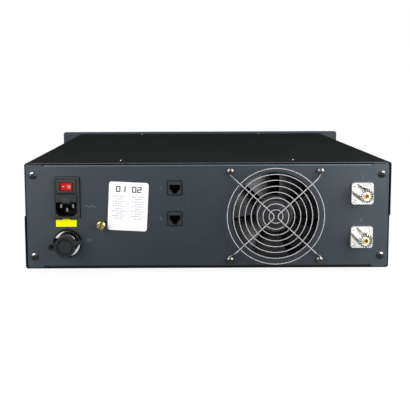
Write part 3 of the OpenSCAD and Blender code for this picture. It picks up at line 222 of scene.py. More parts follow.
def grid(points, wrap_rows=False, wrap_columns=False):
    """A grid of points and its quads. A wrapped direction joins its last line to its first."""
    rows, columns = points.shape[:2]
    down, across = np.arange(rows - (not wrap_rows)), np.arange(columns - (not wrap_columns))
    r, c = np.meshgrid(down, across, indexing="ij")
    below, right = (r + 1) % rows, (c + 1) % columns
    corners = [r * columns + c, r * columns + right, below * columns + right, below * columns + c]
    return points.reshape(-1, 3), np.stack(corners, axis=-1).reshape(-1, 4)


def rear_skin(skin, place, closed=False):
    """A tube or a turned skin in mm about a place on the rear panel, as a grid. A closed tube has no ends."""
    return grid(on_rear(skin, *place), closed, True)


def rear_bars(shape, place, turn=0.0):
    """Bars in mm about a place on the rear panel, turned as one in its plane."""
    points, quads = shape
    return on_rear(turn_flat(points, turn), *place), quads


def front_bars(shape, place, turn=0.0):
    """Bars in mm about a place on the front panel, turned as one in its plane."""
    points, quads = shape
    return on_front(turn_flat(points, turn), *place), quads


def poles(points):
    """Closes a tube of rings with a point at each end, the middle of its first and last ring."""
    first = np.broadcast_to(points[:1].mean(axis=1, keepdims=True), points[:1].shape)
    last = np.broadcast_to(points[-1:].mean(axis=1, keepdims=True), points[-1:].shape)
    return np.concatenate([first, points, last])


def circle(radius, steps):
    """Points round a circle, anticlockwise from the right."""
    a = np.linspace(0, 2 * np.pi, steps, endpoint=False)
    return radius * np.stack([np.cos(a), np.sin(a)], 1)


def direction(path, closed):
    """The way a path runs at each point: the step from the point before to the one after, made one long."""
    ahead = np.roll(path, -1, axis=0) - np.roll(path, 1, axis=0) if closed else np.gradient(path, axis=0)
    return ahead / np.linalg.norm(ahead, axis=1, keepdims=True)


def round_wire(path, diameter, closed=False, sides=14):
    """A circle carried along a path: at each point it stands square to the path, one of its axes level."""
    along = direction(path, closed)
    level = np.cross([0.0, 0.0, 1.0], along)
    level /= np.linalg.norm(level, axis=1, keepdims=True)
    upright = np.cross(along, level)
    a = np.linspace(0, 2 * np.pi, sides, endpoint=False)[None, :, None]
    skin = path[:, None] + diameter / 2 * (np.cos(a) * level[:, None] + np.sin(a) * upright[:, None])
    return skin if closed else poles(skin)


def ribbon(path, width, low, high, closed=False):
    """A flat strip: a width-by-height oblong carried along a path that lies in the plane of the panel."""
    along = direction(path, closed)
    side = np.stack([-along[:, 1], along[:, 0]], axis=1) * width / 2
    edges = np.stack([path + side, path + side, path - side, path - side], axis=1)
    heights = np.broadcast_to(np.array([low, high, high, low])[None, :, None], edges.shape[:2] + (1,))
    skin = np.concatenate([edges, heights], axis=2)
    return skin if closed else poles(skin)


def turned(profile, steps=96):
    """A profile of (radius, height) points turned about the outward axis. Points on the axis become poles."""
    profile = np.asarray(profile, float)
    a = np.linspace(0, 2 * np.pi, steps, endpoint=False)
    radius, height = profile[:, :1], np.broadcast_to(profile[:, 1:], (len(profile), steps))
    return np.stack([radius * np.cos(a), radius * np.sin(a), height], -1)


def rounded_outline(width, height, radius, steps=8):
    """An oblong with round corners: four quarter circles, anticlockwise from the upper right."""
    a = np.linspace(0, np.pi / 2, steps + 1) + np.arange(4)[:, None] * np.pi / 2
    signs = np.array([[1, 1], [-1, 1], [-1, -1], [1, -1]])
    centres = signs * np.array([width / 2 - radius, height / 2 - radius])
    arcs = centres[:, None] + radius * np.stack([np.cos(a), np.sin(a)], axis=-1)
    return arcs.reshape(-1, 2)


def plate(outline, low, high, edge=0.04):
    """A flat plate: its outline carried from low to high, drawn in at the top by a small edge, with poles."""
    half = np.abs(outline).max(axis=0)
    loops = np.stack([outline, outline, outline * (1 - edge / half)])
    heights = np.array([low, high - edge, high])[:, None, None]
    return poles(np.concatenate([loops, np.broadcast_to(heights, loops.shape[:2] + (1,))], axis=2))


BOX_SIGNS = np.array([[-1, -1], [1, -1], [1, 1], [-1, 1], [-1, -1], [1, -1], [1, 1], [-1, 1]]) / 2
BOX_QUADS = np.array([[3, 2, 1, 0], [4, 5, 6, 7], [0, 1, 5, 4], [1, 2, 6, 5], [2, 3, 7, 6], [3, 0, 4, 7]])


def bars(centres, extents, low, high):
    """Small oblong bars: for each centre and size, eight corners from low to high."""
    centres, extents = np.atleast_2d(centres).astype(float), np.atleast_2d(extents).astype(float)
    flat = centres[:, None] + extents[:, None] * BOX_SIGNS
    heights = np.repeat([low, high], 4)
    points = np.concatenate([flat, np.broadcast_to(heights[None, :, None], flat.shape[:2] + (1,))], axis=2)
    quads = BOX_QUADS[None] + 8 * np.arange(len(centres))[:, None, None]
    return points.reshape(-1, 3), quads.reshape(-1, 4)


STROKES = {"0": "abcdef", "1": "bc", "2": "abged", "3": "abgcd", "4": "fgbc",
           "5": "afgcd", "6": "afgedc", "7": "abc", "8": "abcdefg", "9": "abcdfg"}
STROKE_PLACES = {"a": (0, 2, 1, 0), "b": (1, 1, 0, 1), "c": (1, -1, 0, 1), "d": (0, -2, 1, 0),
                 "e": (-1, -1, 0, 1), "f": (-1, 1, 0, 1), "g": (0, 0, 1, 0)}


def numerals(text, height, weight, centre=(0.0, 0.0)):
    """Plain numbers of straight strokes about a centre: for each lit stroke its middle and size."""
    places = [(i, STROKE_PLACES[s]) for i, sign in enumerate(text) for s in STROKES[sign]]
    index = np.array([p[0] for p in places], float)
    stroke = np.array([p[1] for p in places], float)
    half, advance = height * 0.25, height * 0.8
    centres = stroke[:, :2] * half + centre
    centres[:, 0] += (index - (len(text) - 1) / 2) * advance
    extents = stroke[:, 2:] * (2 * half + weight) + (1 - stroke[:, 2:]) * weight
    return centres, extents


def turn_flat(points, angle):
    """Points turned in the plane of the panel, anticlockwise."""
    c, s = math.cos(angle), math.sin(angle)
    x, y = points[..., 0].copy(), points[..., 1].copy()
    points[..., 0], points[..., 1] = c * x - s * y, s * x + c * y
    return points


def clean_mesh(name, parts):
    """One mesh of several grids: points that lie together are merged and faces turned outwards."""
    starts = np.cumsum([0] + [len(points) for points, quads in parts])
    points = np.concatenate([points for points, quads in parts])
    quads = np.concatenate([quads + start for (points_of, quads), start in zip(parts, starts)])
    mesh = bpy.data.meshes.new(name)
    mesh.from_pydata(points.tolist(), [], quads.tolist())
    work = bmesh.new()
    work.from_mesh(mesh)
    bmesh.ops.remove_doubles(work, verts=work.verts, dist=1e-6)
    bmesh.ops.dissolve_degenerate(work, edges=work.edges, dist=1e-7)
    bmesh.ops.recalc_face_normals(work, faces=work.faces)
    work.to_mesh(mesh)
    work.free()
    return mesh


def add_piece(name, parts, body, material, nodes=(), smooth=35.0):
    """A piece of several grids, smooth but for edges sharper than an angle in degrees. It rides on its body,
    takes the slot's finish and stands for the CAD nodes that it replaces."""
    mesh = clean_mesh(name, parts)
    mesh.shade_smooth()
    mesh.set_sharp_from_angle(angle=math.radians(smooth))
    mesh.materials.append(material)
    piece = bpy.data.objects.new(name, mesh)
    bpy.context.scene.collection.objects.link(piece)
    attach(piece, body)
    if nodes:
        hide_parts(*nodes)


def carried(tree, source, low, high, start, end):
    """A value carried from start..end to low..high."""
    node = tree.nodes.new("ShaderNodeMapRange")
    for socket, value in (("From Min", start), ("From Max", end), ("To Min", low), ("To Max", high)):
        node.inputs[socket].default_value = value
    tree.links.new(source, node.inputs["Value"])
    return node.outputs["Result"]


def joined(tree, operation, *values):
    """Values joined by an operation. Each is a socket or a plain number."""
    node = tree.nodes.new("ShaderNodeMath")
    node.operation = operation
    for value, socket in zip(values, node.inputs):
        if isinstance(value, bpy.types.NodeSocket):
            tree.links.new(value, socket)
        else:
            socket.default_value = value
    return node.outputs[0]


class Finish:
    """A node material on object coordinates, built up one texture at a time."""

    def __init__(self, name, metallic=0.0, roughness=0.5, **fixed):
        self.material = bpy.data.materials.new(name)
        self.material.use_nodes = True
        self.tree = self.material.node_tree
        self.shader = next(n for n in self.tree.nodes if n.type == "BSDF_PRINCIPLED")
        self.place = self.tree.nodes.new("ShaderNodeTexCoord").outputs["Object"]
        self.shader.inputs["Metallic"].default_value = metallic
        self.shader.inputs["Roughness"].default_value = roughness
        for socket, value in fixed.items():
            self.shader.inputs[socket.replace("_", " ")].default_value = value

    def stretched(self, scale, turn=(0.0, 0.0, 0.0)):
        """Object coordinates, turned and scaled."""
        node = self.tree.nodes.new("ShaderNodeMapping")
        node.inputs["Scale"].default_value = scale
        node.inputs["Rotation"].default_value = turn
        self.tree.links.new(self.place, node.inputs["Vector"])
        return node.outputs["Vector"]

    def noise(self, size, detail, place=None):
        """Soft noise with spots of about that size in metres."""
        node = self.tree.nodes.new("ShaderNodeTexNoise")
        node.inputs["Scale"].default_value = 1 / size
        node.inputs["Detail"].default_value = detail
        self.tree.links.new(place or self.place, node.inputs["Vector"])
        return node.outputs[0]

    def cells(self, size, output="Distance", place=None):
        """Cells of about that size in metres."""
        node = self.tree.nodes.new("ShaderNodeTexVoronoi")
        node.inputs["Scale"].default_value = 1 / size
        self.tree.links.new(place or self.place, node.inputs["Vector"])
        return node.outputs[output]

    def bands(self, size, axis, wobble=0.0):
        """Even bands across an axis, of about that width in metres."""
        node = self.tree.nodes.new("ShaderNodeTexWave")
        node.bands_direction = axis
        node.inputs["Scale"].default_value = WAVE_BAND / size
        node.inputs["Distortion"].default_value = wobble
        self.tree.links.new(self.place, node.inputs["Vector"])
        return node.outputs["Fac"]

    def axis(self, name):
        """One coordinate of the place."""
        node = self.tree.nodes.new("ShaderNodeSeparateXYZ")
        self.tree.links.new(self.place, node.inputs["Vector"])
        return node.outputs[name]

    def facing(self, name):
        """One coordinate of the surface's own normal."""
        geometry = self.tree.nodes.new("ShaderNodeNewGeometry")
        node = self.tree.nodes.new("ShaderNodeSeparateXYZ")
        self.tree.links.new(geometry.outputs["Normal"], node.inputs["Vector"])
        return node.outputs[name]

    def spread(self, source, low, high, start=0.3, end=0.7):
        """A texture's value carried from start..end to low..high."""
        return carried(self.tree, source, low, high, start, end)

    def sum(self, first, second, operation="ADD"):
        """Two values added, or joined by another operation."""
        return joined(self.tree, operation, first, second)

    def tones(self, source, stops, steps=False):
        """Colours laid along a value."""
        node = self.tree.nodes.new("ShaderNodeValToRGB")
        ramp = node.color_ramp
        ramp.interpolation = "CONSTANT" if steps else "LINEAR"
        for extra in stops[2:]:
            ramp.elements.new(extra[0])
        for element, (position, colour) in zip(ramp.elements, sorted(stops, key=lambda s: s[0])):
            element.position = position
            element.color = (*colour, 1.0)
        self.tree.links.new(source, node.inputs["Fac"])
        return node.outputs["Color"]

    def over(self, factor, below, above):
        """One colour laid over another by a factor."""
        node = self.tree.nodes.new("ShaderNodeMix")
        node.data_type = "RGBA"
        self.tree.links.new(factor, node.inputs[0])
        for socket, value in ((node.inputs[6], below), (node.inputs[7], above)):
            if isinstance(value, bpy.types.NodeSocket):
                self.tree.links.new(value, socket)
            else:
                socket.default_value = (*value, 1.0)
        return node.outputs[2]

    def colour(self, source):
        """Sets the base colour."""
        self.tree.links.new(source, self.shader.inputs["Base Color"])

    def rough(self, source):
        """Sets the roughness."""
        self.tree.links.new(source, self.shader.inputs["Roughness"])

    def relief(self, source, depth, strength):
        """Raises the surface by a texture, on top of any relief that it already has."""
        node = self.tree.nodes.new("ShaderNodeBump")
        node.inputs["Strength"].default_value = strength
        node.inputs["Distance"].default_value = depth
        self.tree.links.new(source, node.inputs["Height"])
        earlier = self.shader.inputs["Normal"].links
        if earlier:
            self.tree.links.new(earlier[0].from_socket, node.inputs["Normal"])
        self.tree.links.new(node.outputs["Normal"], self.shader.inputs["Normal"])


def shade(colour, factor):
    """A colour made darker or lighter by a factor."""
    return tuple(min(1.0, c * factor) for c in colour)


def powder_coat(name, colour, roughness, gloss, grain, depth):
    """Baked powder paint: tone that drifts slowly, fine speckle, uneven gloss and a pitted skin."""
    coat = Finish(name, roughness=roughness, Specular_IOR_Level=gloss, Specular_Tint=(0.86, 0.95, 1.0, 1.0))
    drift = coat.noise(0.07, 2.0)
    speckle = coat.noise(grain * 0.7, 2.0)
    tone = coat.sum(coat.spread(drift, 0.0, 0.5), coat.spread(speckle, 0.0, 0.5))
    coat.colour(coat.tones(tone, [(0.0, shade(colour, 0.90)), (1.0, shade(colour, 1.10))]))
    coat.rough(coat.spread(coat.noise(grain * 3, 3.0), roughness - 0.06, roughness + 0.08))
    coat.relief(coat.noise(grain, 2.0), depth, 0.6)
    coat.relief(coat.cells(grain * 1.7), depth * 0.5, 0.35)
    return coat.material


def plated(name, colour, roughness, tarnish=0.86, pit=0.00001):
    """Plated or polished metal: faint tarnish in patches, uneven polish and hairline marks."""
    metal = Finish(name, metallic=1.0, roughness=roughness)
    metal.colour(metal.tones(metal.noise(0.012, 4.0), [(0.32, shade(colour, tarnish)), (0.62, colour)]))
    hairline = metal.noise(0.0012, 2.0, metal.stretched((1.0, 1.0, 14.0), (0.3, 0.2, 0.5)))
    wear = metal.sum(metal.spread(metal.noise(0.005, 3.0), 0.0, 0.5), metal.spread(hairline, 0.0, 0.5))
    metal.rough(metal.spread(wear, roughness * 0.75, roughness * 1.35, 0.0, 1.0))
    metal.relief(metal.noise(0.0006, 2.0), pit, 0.5)
    return metal.material


def blackened_screw(name):
    """Black oxide on steel, with oily patches, and a painted highlight: near white where the head faces up."""
    metal = Finish(name, metallic=1.0, roughness=0.3)
    patches = metal.noise(0.0012, 3.0)
    oxide = metal.tones(patches, [(0.35, (0.016, 0.015, 0.014)), (0.65, (0.05, 0.047, 0.043))])
    # painted highlight: the head's colour goes near white where it faces up
    painted_highlight = metal.spread(metal.facing("Z"), 0.0, 0.8, 0.42, 0.62)
    metal.colour(metal.over(painted_highlight, oxide, (0.85, 0.84, 0.82)))
    metal.rough(metal.spread(metal.noise(0.002, 3.0), 0.24, 0.4))
    metal.relief(metal.noise(0.0008, 2.0), 0.00002, 0.4)
    return metal.material


def pin_with_painted_highlight(name):
    """Plated blades, near black on their flanks as painted shade, with patches, and a painted highlight at their
    ends, which face out of the panel.
    """
    metal = Finish(name, metallic=1.0, roughness=0.25)
    patches = metal.noise(0.0012, 3.0)
    # painted shade: the flanks are coloured near black
    dull = metal.tones(patches, [(0.35, (0.03, 0.03, 0.03)), (0.65, (0.07, 0.068, 0.065))])
    # painted highlight: the ends facing out of the panel are coloured pale
    ends = metal.spread(metal.facing("Y"), 1.0, 0.0, -0.95, -0.8)
    metal.colour(metal.over(ends, dull, (0.30, 0.295, 0.29)))
    metal.rough(metal.spread(metal.noise(0.002, 3.0), 0.2, 0.34))
    metal.relief(metal.noise(0.0008, 2.0), 0.00001, 0.4)
    return metal.material


def coated_wire(name):
    """Drawn wire, plated: pale along its outer line, and near black on its flanks as painted shade, where the wire
    faces sideways.
    """
    wire = Finish(name, roughness=0.5, Specular_IOR_Level=0.2)
    plating = wire.tones(wire.noise(0.004, 3.0), [(0.3, (0.49, 0.465, 0.49)), (0.65, (0.57, 0.54, 0.565))])
    # painted shade: the wire's colour goes near black where it faces sideways
    painted_flank_shade = wire.spread(wire.facing("Y"), 0.0, 0.92, -0.95, -0.5)
    wire.colour(wire.over(painted_flank_shade, plating, (0.05, 0.048, 0.05)))
    wire.rough(wire.spread(wire.noise(0.002, 3.0), 0.42, 0.6))
    wire.relief(wire.noise(0.0008, 2.0), 0.000005, 0.4)
    return wire.material


def moulded(name, colour, roughness, grain=0.00035, depth=0.00002, gloss=0.1):
    """Moulded plastic: the mould's spark-eroded grain, flow marks and slightly uneven gloss."""
    plastic = Finish(name, roughness=roughness, Specular_IOR_Level=gloss)
    flow = plastic.noise(0.02, 3.0, plastic.stretched((1.0, 1.0, 0.4), (0.2, 0.3, 0.1)))
    plastic.colour(plastic.tones(flow, [(0.3, shade(colour, 0.88)), (0.7, shade(colour, 1.12))]))
    plastic.rough(plastic.spread(plastic.noise(0.002, 3.0), roughness - 0.05, roughness + 0.07))
    plastic.relief(plastic.noise(grain, 2.0), depth, 0.5)
    return plastic.material


def galvanised(name):
    """Hot-dipped zinc: spangle cells of several greys, each with its own gloss."""
    zinc = Finish(name, metallic=1.0, roughness=0.4)
    spangle = zinc.cells(0.006, "Color")
    grey = zinc.tree.nodes.new("ShaderNodeRGBToBW")
    zinc.tree.links.new(spangle, grey.inputs["Color"])
    zinc.colour(zinc.tones(grey.outputs[0], [(0.2, (0.42, 0.44, 0.46)), (0.8, (0.62, 0.63, 0.64))]))
    zinc.rough(zinc.spread(grey.outputs[0], 0.32, 0.5))
    zinc.relief(zinc.noise(0.0008, 3.0), 0.00002, 0.4)
    return zinc.material


def brushed_aluminium(name):
    """Extruded aluminium: fine draw lines along one axis and a dull, even sheen."""
    metal = Finish(name, metallic=1.0, roughness=0.35)
    lines = metal.noise(0.0009, 3.0, metal.stretched((6.0, 0.12, 6.0)))
    metal.colour(metal.tones(lines, [(0.3, (0.56, 0.57, 0.58)), (0.7, (0.70, 0.71, 0.72))]))
    metal.rough(metal.spread(lines, 0.28, 0.45))
    metal.relief(lines, 0.00002, 0.5)
    return metal.material


def rubber(name):
    """Black rubber: a dull skin with a little bloom, and dust where it faces up."""
    skin = Finish(name, roughness=0.7, Specular_IOR_Level=0.12)
    patches = skin.noise(0.006, 4.0)
    bloom = skin.tones(patches, [(0.3, (0.016, 0.018, 0.019)), (0.75, (0.027, 0.030, 0.031))])
    dust = skin.spread(skin.facing("Z"), 0.0, 0.10, 0.4, 1.0)
    skin.colour(skin.over(dust, bloom, (0.16, 0.15, 0.14)))
    skin.rough(skin.spread(skin.noise(0.0015, 3.0), 0.58, 0.8))
    skin.relief(skin.noise(0.0005, 2.0), 0.00003, 0.5)
    return skin.material


def circuit_board(name):
    """Solder mask over copper: a light pad in the middle of each uneven cell, and a gloss that follows it."""
    board = Finish(name, roughness=0.35)
    pads = board.cells(0.004, "Distance", board.stretched((1.0, 1.0, 0.35)))
    board.colour(board.tones(pads, [(0.0, (0.30, 0.32, 0.28)), (0.10, (0.02, 0.16, 0.09)),
                                    (0.45, (0.012, 0.11, 0.06)), (0.6, (0.02, 0.17, 0.10))]))
    board.rough(board.spread(pads, 0.25, 0.45, 0.0, 0.6))
    board.relief(pads, 0.00003, 0.6)
    return board.material


def copper_winding(name):
    """Enamelled wire wound in neat turns: fine bands with a lacquer gloss."""
    wire = Finish(name, metallic=1.0, roughness=0.28)
    turns = wire.bands(0.0006, "Y", 0.6)
    wire.colour(wire.tones(turns, [(0.1, (0.20, 0.07, 0.03)), (0.6, (0.62, 0.26, 0.12))]))
    wire.rough(wire.spread(turns, 0.22, 0.4, 0.0, 1.0))
    wire.relief(turns, 0.00012, 0.8)
    return wire.material


def clear_glass(name):
    """Fuse glass: clear, faintly green, with drawn streaks along the tube."""
    glass = Finish(name, roughness=0.06, Transmission_Weight=0.85, IOR=1.5)
    streaks = glass.noise(0.002, 2.0, glass.stretched((0.1, 4.0, 4.0)))
    glass.colour(glass.tones(streaks, [(0.3, (0.78, 0.84, 0.80)), (0.7, (0.90, 0.94, 0.91))]))
    glass.rough(glass.spread(streaks, 0.03, 0.12))
    glass.relief(streaks, 0.00001, 0.3)
    return glass.material


def display_glass(name):
    """Smoked window: near black, glossy, with fine wipe marks and a faint grid of cells behind it."""
    glass = Finish(name, roughness=0.12, Specular_IOR_Level=0.6)
    cell_grid = glass.sum(glass.bands(0.0008, "X"), glass.bands(0.0008, "Z"), "MULTIPLY")
    glass.colour(glass.tones(cell_grid, [(0.1, (0.006, 0.009, 0.007)), (0.8, (0.014, 0.020, 0.016))]))
    wipes = glass.noise(0.010, 3.0, glass.stretched((0.4, 1.0, 3.0), (0.0, 0.4, 0.0)))
    glass.rough(glass.spread(wipes, 0.08, 0.2))
    glass.relief(wipes, 0.000005, 0.3)
    return glass.material


def light_lens(name):
    """Three diffused lenses, told apart by height: green, amber and red from the top, with moulded swirl."""
    lens = Finish(name, roughness=0.25, Specular_IOR_Level=0.6)
    low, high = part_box("status_lights")
    step = lens.spread(lens.axis("Z"), 0.0, 1.0, low.z, high.z)
    red, amber, green = (0.45, 0.02, 0.01), (0.60, 0.26, 0.02), (0.05, 0.42, 0.06)
    lit = lens.tones(step, [(0.0, red), (0.36, amber), (0.66, green)], True)
    swirl = lens.spread(lens.noise(0.002, 3.0), 0.0, 0.35)
    lens.colour(lens.over(swirl, lit, (0.75, 0.72, 0.66)))
    lens.rough(lens.spread(lens.noise(0.001, 2.0), 0.18, 0.34))
    lens.relief(lens.noise(0.0008, 2.0), 0.00001, 0.4)
    return lens.material


def speaker_cone(name):
    """Pressed black paper: fibres that show in its tone, its sheen and its relief."""
    paper = Finish(name, roughness=0.85, Specular_IOR_Level=0.25)
    fibre = paper.noise(0.0012, 4.0, paper.stretched((1.0, 1.0, 0.3), (0.5, 0.2, 0.8)))
    paper.colour(paper.tones(fibre, [(0.3, (0.010, 0.010, 0.010)), (0.7, (0.026, 0.025, 0.024))]))
    paper.rough(paper.spread(fibre, 0.75, 0.95))
    paper.relief(fibre, 0.00008, 0.6)
    return paper.material


def label_paper(name):
    """Coated paper: near white, fine fibre, slight yellowing in drifts and a dull sheen."""
    paper = Finish(name, roughness=0.55, Specular_IOR_Level=0.4)
    fibre = paper.noise(0.0008, 4.0)
    white = tuple(colours().label_paper)
    tone = paper.sum(paper.spread(fibre, 0.0, 0.4), paper.spread(paper.noise(0.02, 2.0), 0.0, 0.6))
    paper.colour(paper.tones(tone, [(0.0, shade(white, 0.93)), (1.0, white)]))
    paper.rough(paper.spread(fibre, 0.45, 0.65))
    paper.relief(paper.noise(0.006, 2.0), 0.00004, 0.4)
    return paper.material


def film(name, colour, roughness=0.35, gloss=0.45):
    """Plastic film or printed ink: even colour with fine screen-print mottling and a slight ripple."""
    sheet = Finish(name, roughness=roughness, Specular_IOR_Level=gloss)
    mottle = sheet.noise(0.0006, 3.0)
    sheet.colour(sheet.tones(mottle, [(0.25, shade(colour, 0.86)), (0.6, colour)]))
    sheet.rough(sheet.spread(mottle, roughness - 0.06, roughness + 0.1))
    sheet.relief(sheet.noise(0.004, 2.0), 0.00002, 0.3)
    return sheet.material


def display_ink(name):
    """Lit display strokes: pale green that glows a little, uneven as a back light is."""
    ink = Finish(name, roughness=0.4, Emission_Strength=0.35, Emission_Color=(0.35, 0.75, 0.30, 1.0))
    glow = ink.noise(0.006, 2.0)
    ink.colour(ink.tones(glow, [(0.3, (0.22, 0.48, 0.20)), (0.7, (0.34, 0.66, 0.30))]))
    ink.rough(ink.spread(glow, 0.3, 0.5))
    ink.relief(ink.noise(0.0006, 2.0), 0.00001, 0.3)
    return ink.material


MAKERS = {
    "panel_paint": lambda n: powder_coat(n, tuple(colours().panel_paint), 0.45, 0.5, 0.0009, 0.00002),
    "cover_paint": lambda n: powder_coat(n, tuple(colours().cover_paint), 0.7, 0.0, 0.0011, 0.00007),
    "galvanised": galvanised,
    "nickel": lambda n: plated(n, (0.93, 0.92, 0.885), 0.06, 0.95, 0.000002),
    "thread_nickel": lambda n: plated(n, (0.80, 0.79, 0.76), 0.2, 0.94, 0.000002),
    "screw_steel": blackened_screw,
    "worn_nickel": lambda n: plated(n, (0.15, 0.146, 0.138), 0.24, 0.7),
    "chrome": lambda n: plated(n, (0.62, 0.59, 0.605), 0.2, 0.92),
    "bright_chrome": lambda n: plated(n, (0.86, 0.85, 0.85), 0.08, 0.96, 0.000002),
    "pin_nickel": pin_with_painted_highlight,
    "wire_coat": coated_wire,
    "bezel_plastic": lambda n: moulded(n, (0.042, 0.0455, 0.045), 0.45),
    # painted light: a lighter copy of the black plastic, for the lit face of the mains inlet and its drawer
    "inlet_plastic": lambda n: moulded(n, (0.033, 0.0365, 0.038), 0.45),
    # painted shade: near-black plastic for the dark lines in the bezel's groove and round the drawer
    "groove_plastic": lambda n: moulded(n, (0.012, 0.0135, 0.014), 0.6),
    # painted highlight: a lighter copy of the drawer's plastic for its raised grip, ribs and dots
    "relief_plastic": lambda n: moulded(n, (0.040, 0.0435, 0.045), 0.45),
    "jack_plastic": lambda n: moulded(n, (0.034, 0.037, 0.039), 0.5),
    # painted highlight: the panel paint 3.6 times lighter, for the light along the panel's top bend
    "bend_paint": lambda n: powder_coat(n, shade(colours().panel_paint, 3.6), 0.45, 0.5, 0.0009, 0.00002),
    # painted light: the panel paint 1.75 times lighter on the front panel, to brighten its ears
    "front_paint": lambda n: powder_coat(n, shade(colours().panel_paint, 1.75), 0.5, 0.12, 0.0009, 0.00002),
    # painted shade: dark brass for the shaded slot of the earth screw
    "earth_slot": lambda n: film(n, (0.20, 0.16, 0.05), 0.5, 0.1),
    "rim_shadow": lambda n: film(n, (0.05, 0.05, 0.045), 0.5, 0.1),
    "dark_screw": lambda n: plated(n, (0.045, 0.045, 0.046), 0.35, 0.7),
    "black_plastic": lambda n: moulded(n, tuple(colours().black_plastic), 0.42),
    "red_plastic": lambda n: moulded(n, tuple(colours().rocker_red), 0.28, 0.0006, 0.00001),
    "rocker_shade": lambda n: moulded(n, shade(colours().rocker_red, 0.3), 0.4, 0.0006, 0.00001),
    "grey_plastic": lambda n: moulded(n, (0.10, 0.105, 0.11), 0.45),
    "fan_plastic": lambda n: moulded(n, tuple(colours().fan_plastic), 0.45, 0.0005, 0.00003, 0.4),
    "rubber": rubber,
    "brass": lambda n: plated(n, (0.60, 0.50, 0.20), 0.28, 0.7),
    "gold": lambda n: plated(n, (0.85, 0.60, 0.22), 0.22, 0.85),
    "white_insulator": lambda n: moulded(n, (0.78, 0.78, 0.76), 0.4, 0.0005, 0.00001),
    "amber_insulator": lambda n: moulded(n, (0.74, 0.68, 0.30), 0.4, 0.0005, 0.00001),
    "copper_winding": copper_winding,
    "fuse_glass": clear_glass,
    "display_glass": display_glass,
    "light_lens": light_lens,
    "board": circuit_board,
    "aluminium": brushed_aluminium,
    "speaker_black": speaker_cone,
    "label_paper": label_paper,
    "sticker_film": lambda n: film(n, tuple(colours().sticker), 0.4, 0.06),
    "legend_ink": lambda n: film(n, tuple(colours().legend), 0.5, 0.1),
    "label_ink": lambda n: film(n, (0.60, 0.53, 0.61), 0.6),
    "label_bold_ink": lambda n: film(n, (0.06, 0.06, 0.07), 0.6),
    "mark_ink": lambda n: film(n, (0.66, 0.58, 0.66), 0.45, 0.1),
    # painted highlight: a lighter grey for the light caught by the cover's rear edge
    "edge_paint": lambda n: film(n, (0.075, 0.083, 0.088), 0.5, 0.1),
    # painted shade: near black for strips and linings put where gaps, holes and grooves lie in shade
    "gap_black": lambda n: film(n, (0.004, 0.005, 0.006), 0.7, 0.05),
    "display_ink": display_ink,
}


def finish(kind):
    """The material of a finish, made when it is first asked for."""
    name = "finish_" + kind
    return bpy.data.materials.get(name) or MAKERS[kind](name)


OWN_FINISHES = {"rear_panel_screws": "screw_steel", "cover_screws": "dark_screw", "fan_screws": "worn_nickel",
                "switch_frame": "bezel_plastic", "inlet_body": "inlet_plastic",
                "fuse_drawer": "inlet_plastic", "inlet_pins": "pin_nickel", "dc_socket": "bright_chrome",
                "data_jack_upper": "jack_plastic", "data_jack_lower": "jack_plastic",
                "front_panel": "front_paint"}


class REPEATER_OT_paint(bpy.types.Operator):
    """Gives every CAD node the finish of its material slot, and a few rear fittings their own"""

    bl_idname = "repeater.paint"
    bl_label = "Paint the CAD nodes"

    def execute(self, context):
        for part in frame["record"]["subparts"]:
            mesh = frame["nodes"][part["node"]].data
            mesh.materials.clear()
            mesh.materials.append(finish(OWN_FINISHES.get(part["node"], part["material_slot"])))
        return {"FINISHED"}


def hairpin_path(wire, bend, lift, spacing):
    """One hairpin wire in mm: up one leg, round a small bend near the middle and out along the other leg.
    Each leg runs level over the rings, steps down at 45 degrees with two arcs, and curls round its screw."""
    shank, landing, slope = 2.4, 2.5, math.radians(45)
    eye, low, arc = shank + wire / 2, wire / 2, wire * 1.5
    reach = spacing / math.sqrt(2)
    half = math.radians(45) - math.asin(eye / reach)
    screw_x = math.sqrt(reach ** 2 - eye ** 2)
    end_x = screw_x - landing
    run = 2 * arc * math.sin(slope) + lift - low - 2 * arc * (1 - math.cos(slope))
    a = np.linspace(0, slope, 9)
    flat = np.zeros_like(a)
    down = np.stack([end_x - run + arc * np.sin(a), flat, lift - arc * (1 - np.cos(a))], 1)
    up = np.stack([end_x - arc * np.sin(a[::-1]), flat, low + arc * (1 - np.cos(a[::-1]))], 1)
    c = np.radians(np.linspace(-90, 190, 41))
    curl = np.stack([screw_x + eye * np.cos(c), eye + eye * np.sin(c), np.full_like(c, low)], 1)
    start = np.linspace(bend / math.tan(half) + 1.0, end_x - run - 0.5, 24)
    level = np.stack([start, np.zeros_like(start), np.full_like(start, lift)], 1)
    leg = turn_flat(np.concatenate([level, down, up, curl]), half)
    b = np.linspace(1.5 * np.pi - half, 0.5 * np.pi + half, 21)
    nose = np.stack([bend / math.sin(half) + bend * np.cos(b), bend * np.sin(b), np.full_like(b, lift)], 1)
    return np.concatenate([leg[::-1] * [1, -1, 1], nose, leg])


class REPEATER_OT_guard(bpy.types.Operator):
    """Builds the finger guard: wire rings welded under two hairpin wires that curl round the fan screws"""

    bl_idname = "repeater.guard"
    bl_label = "Finger guard"

    def execute(self, context):
        s = sizes()
        ring_wire, wire, weld = s.ring_wire / MM, s.hairpin_wire / MM, 0.06
        lift = stands_out("finger_guard") - wire / 2
        ring_height = lift - (ring_wire + wire) / 2 + weld
        round_path = np.column_stack([circle(1.0, 180), np.zeros(180)])
        radii = (s.ring_first + s.ring_pitch * np.arange(s.ring_count)) / MM
        rings = [round_wire(round_path * radius + [0, 0, ring_height], ring_wire, True) for radius in radii]
        pin = hairpin_path(wire, s.hairpin_bend / MM, lift, s.screw_spacing / MM)
        pins = [round_wire(pin * sign, wire) for sign in ([1, 1, 1], [-1, -1, 1])]
        fan = spot("fan_frame")
        parts = [rear_skin(ring, fan, True) for ring in rings] + [rear_skin(pin, fan) for pin in pins]
        add_piece("guard_wires", parts, "case", finish("wire_coat"), ["finger_guard"], 60)
        return {"FINISHED"}


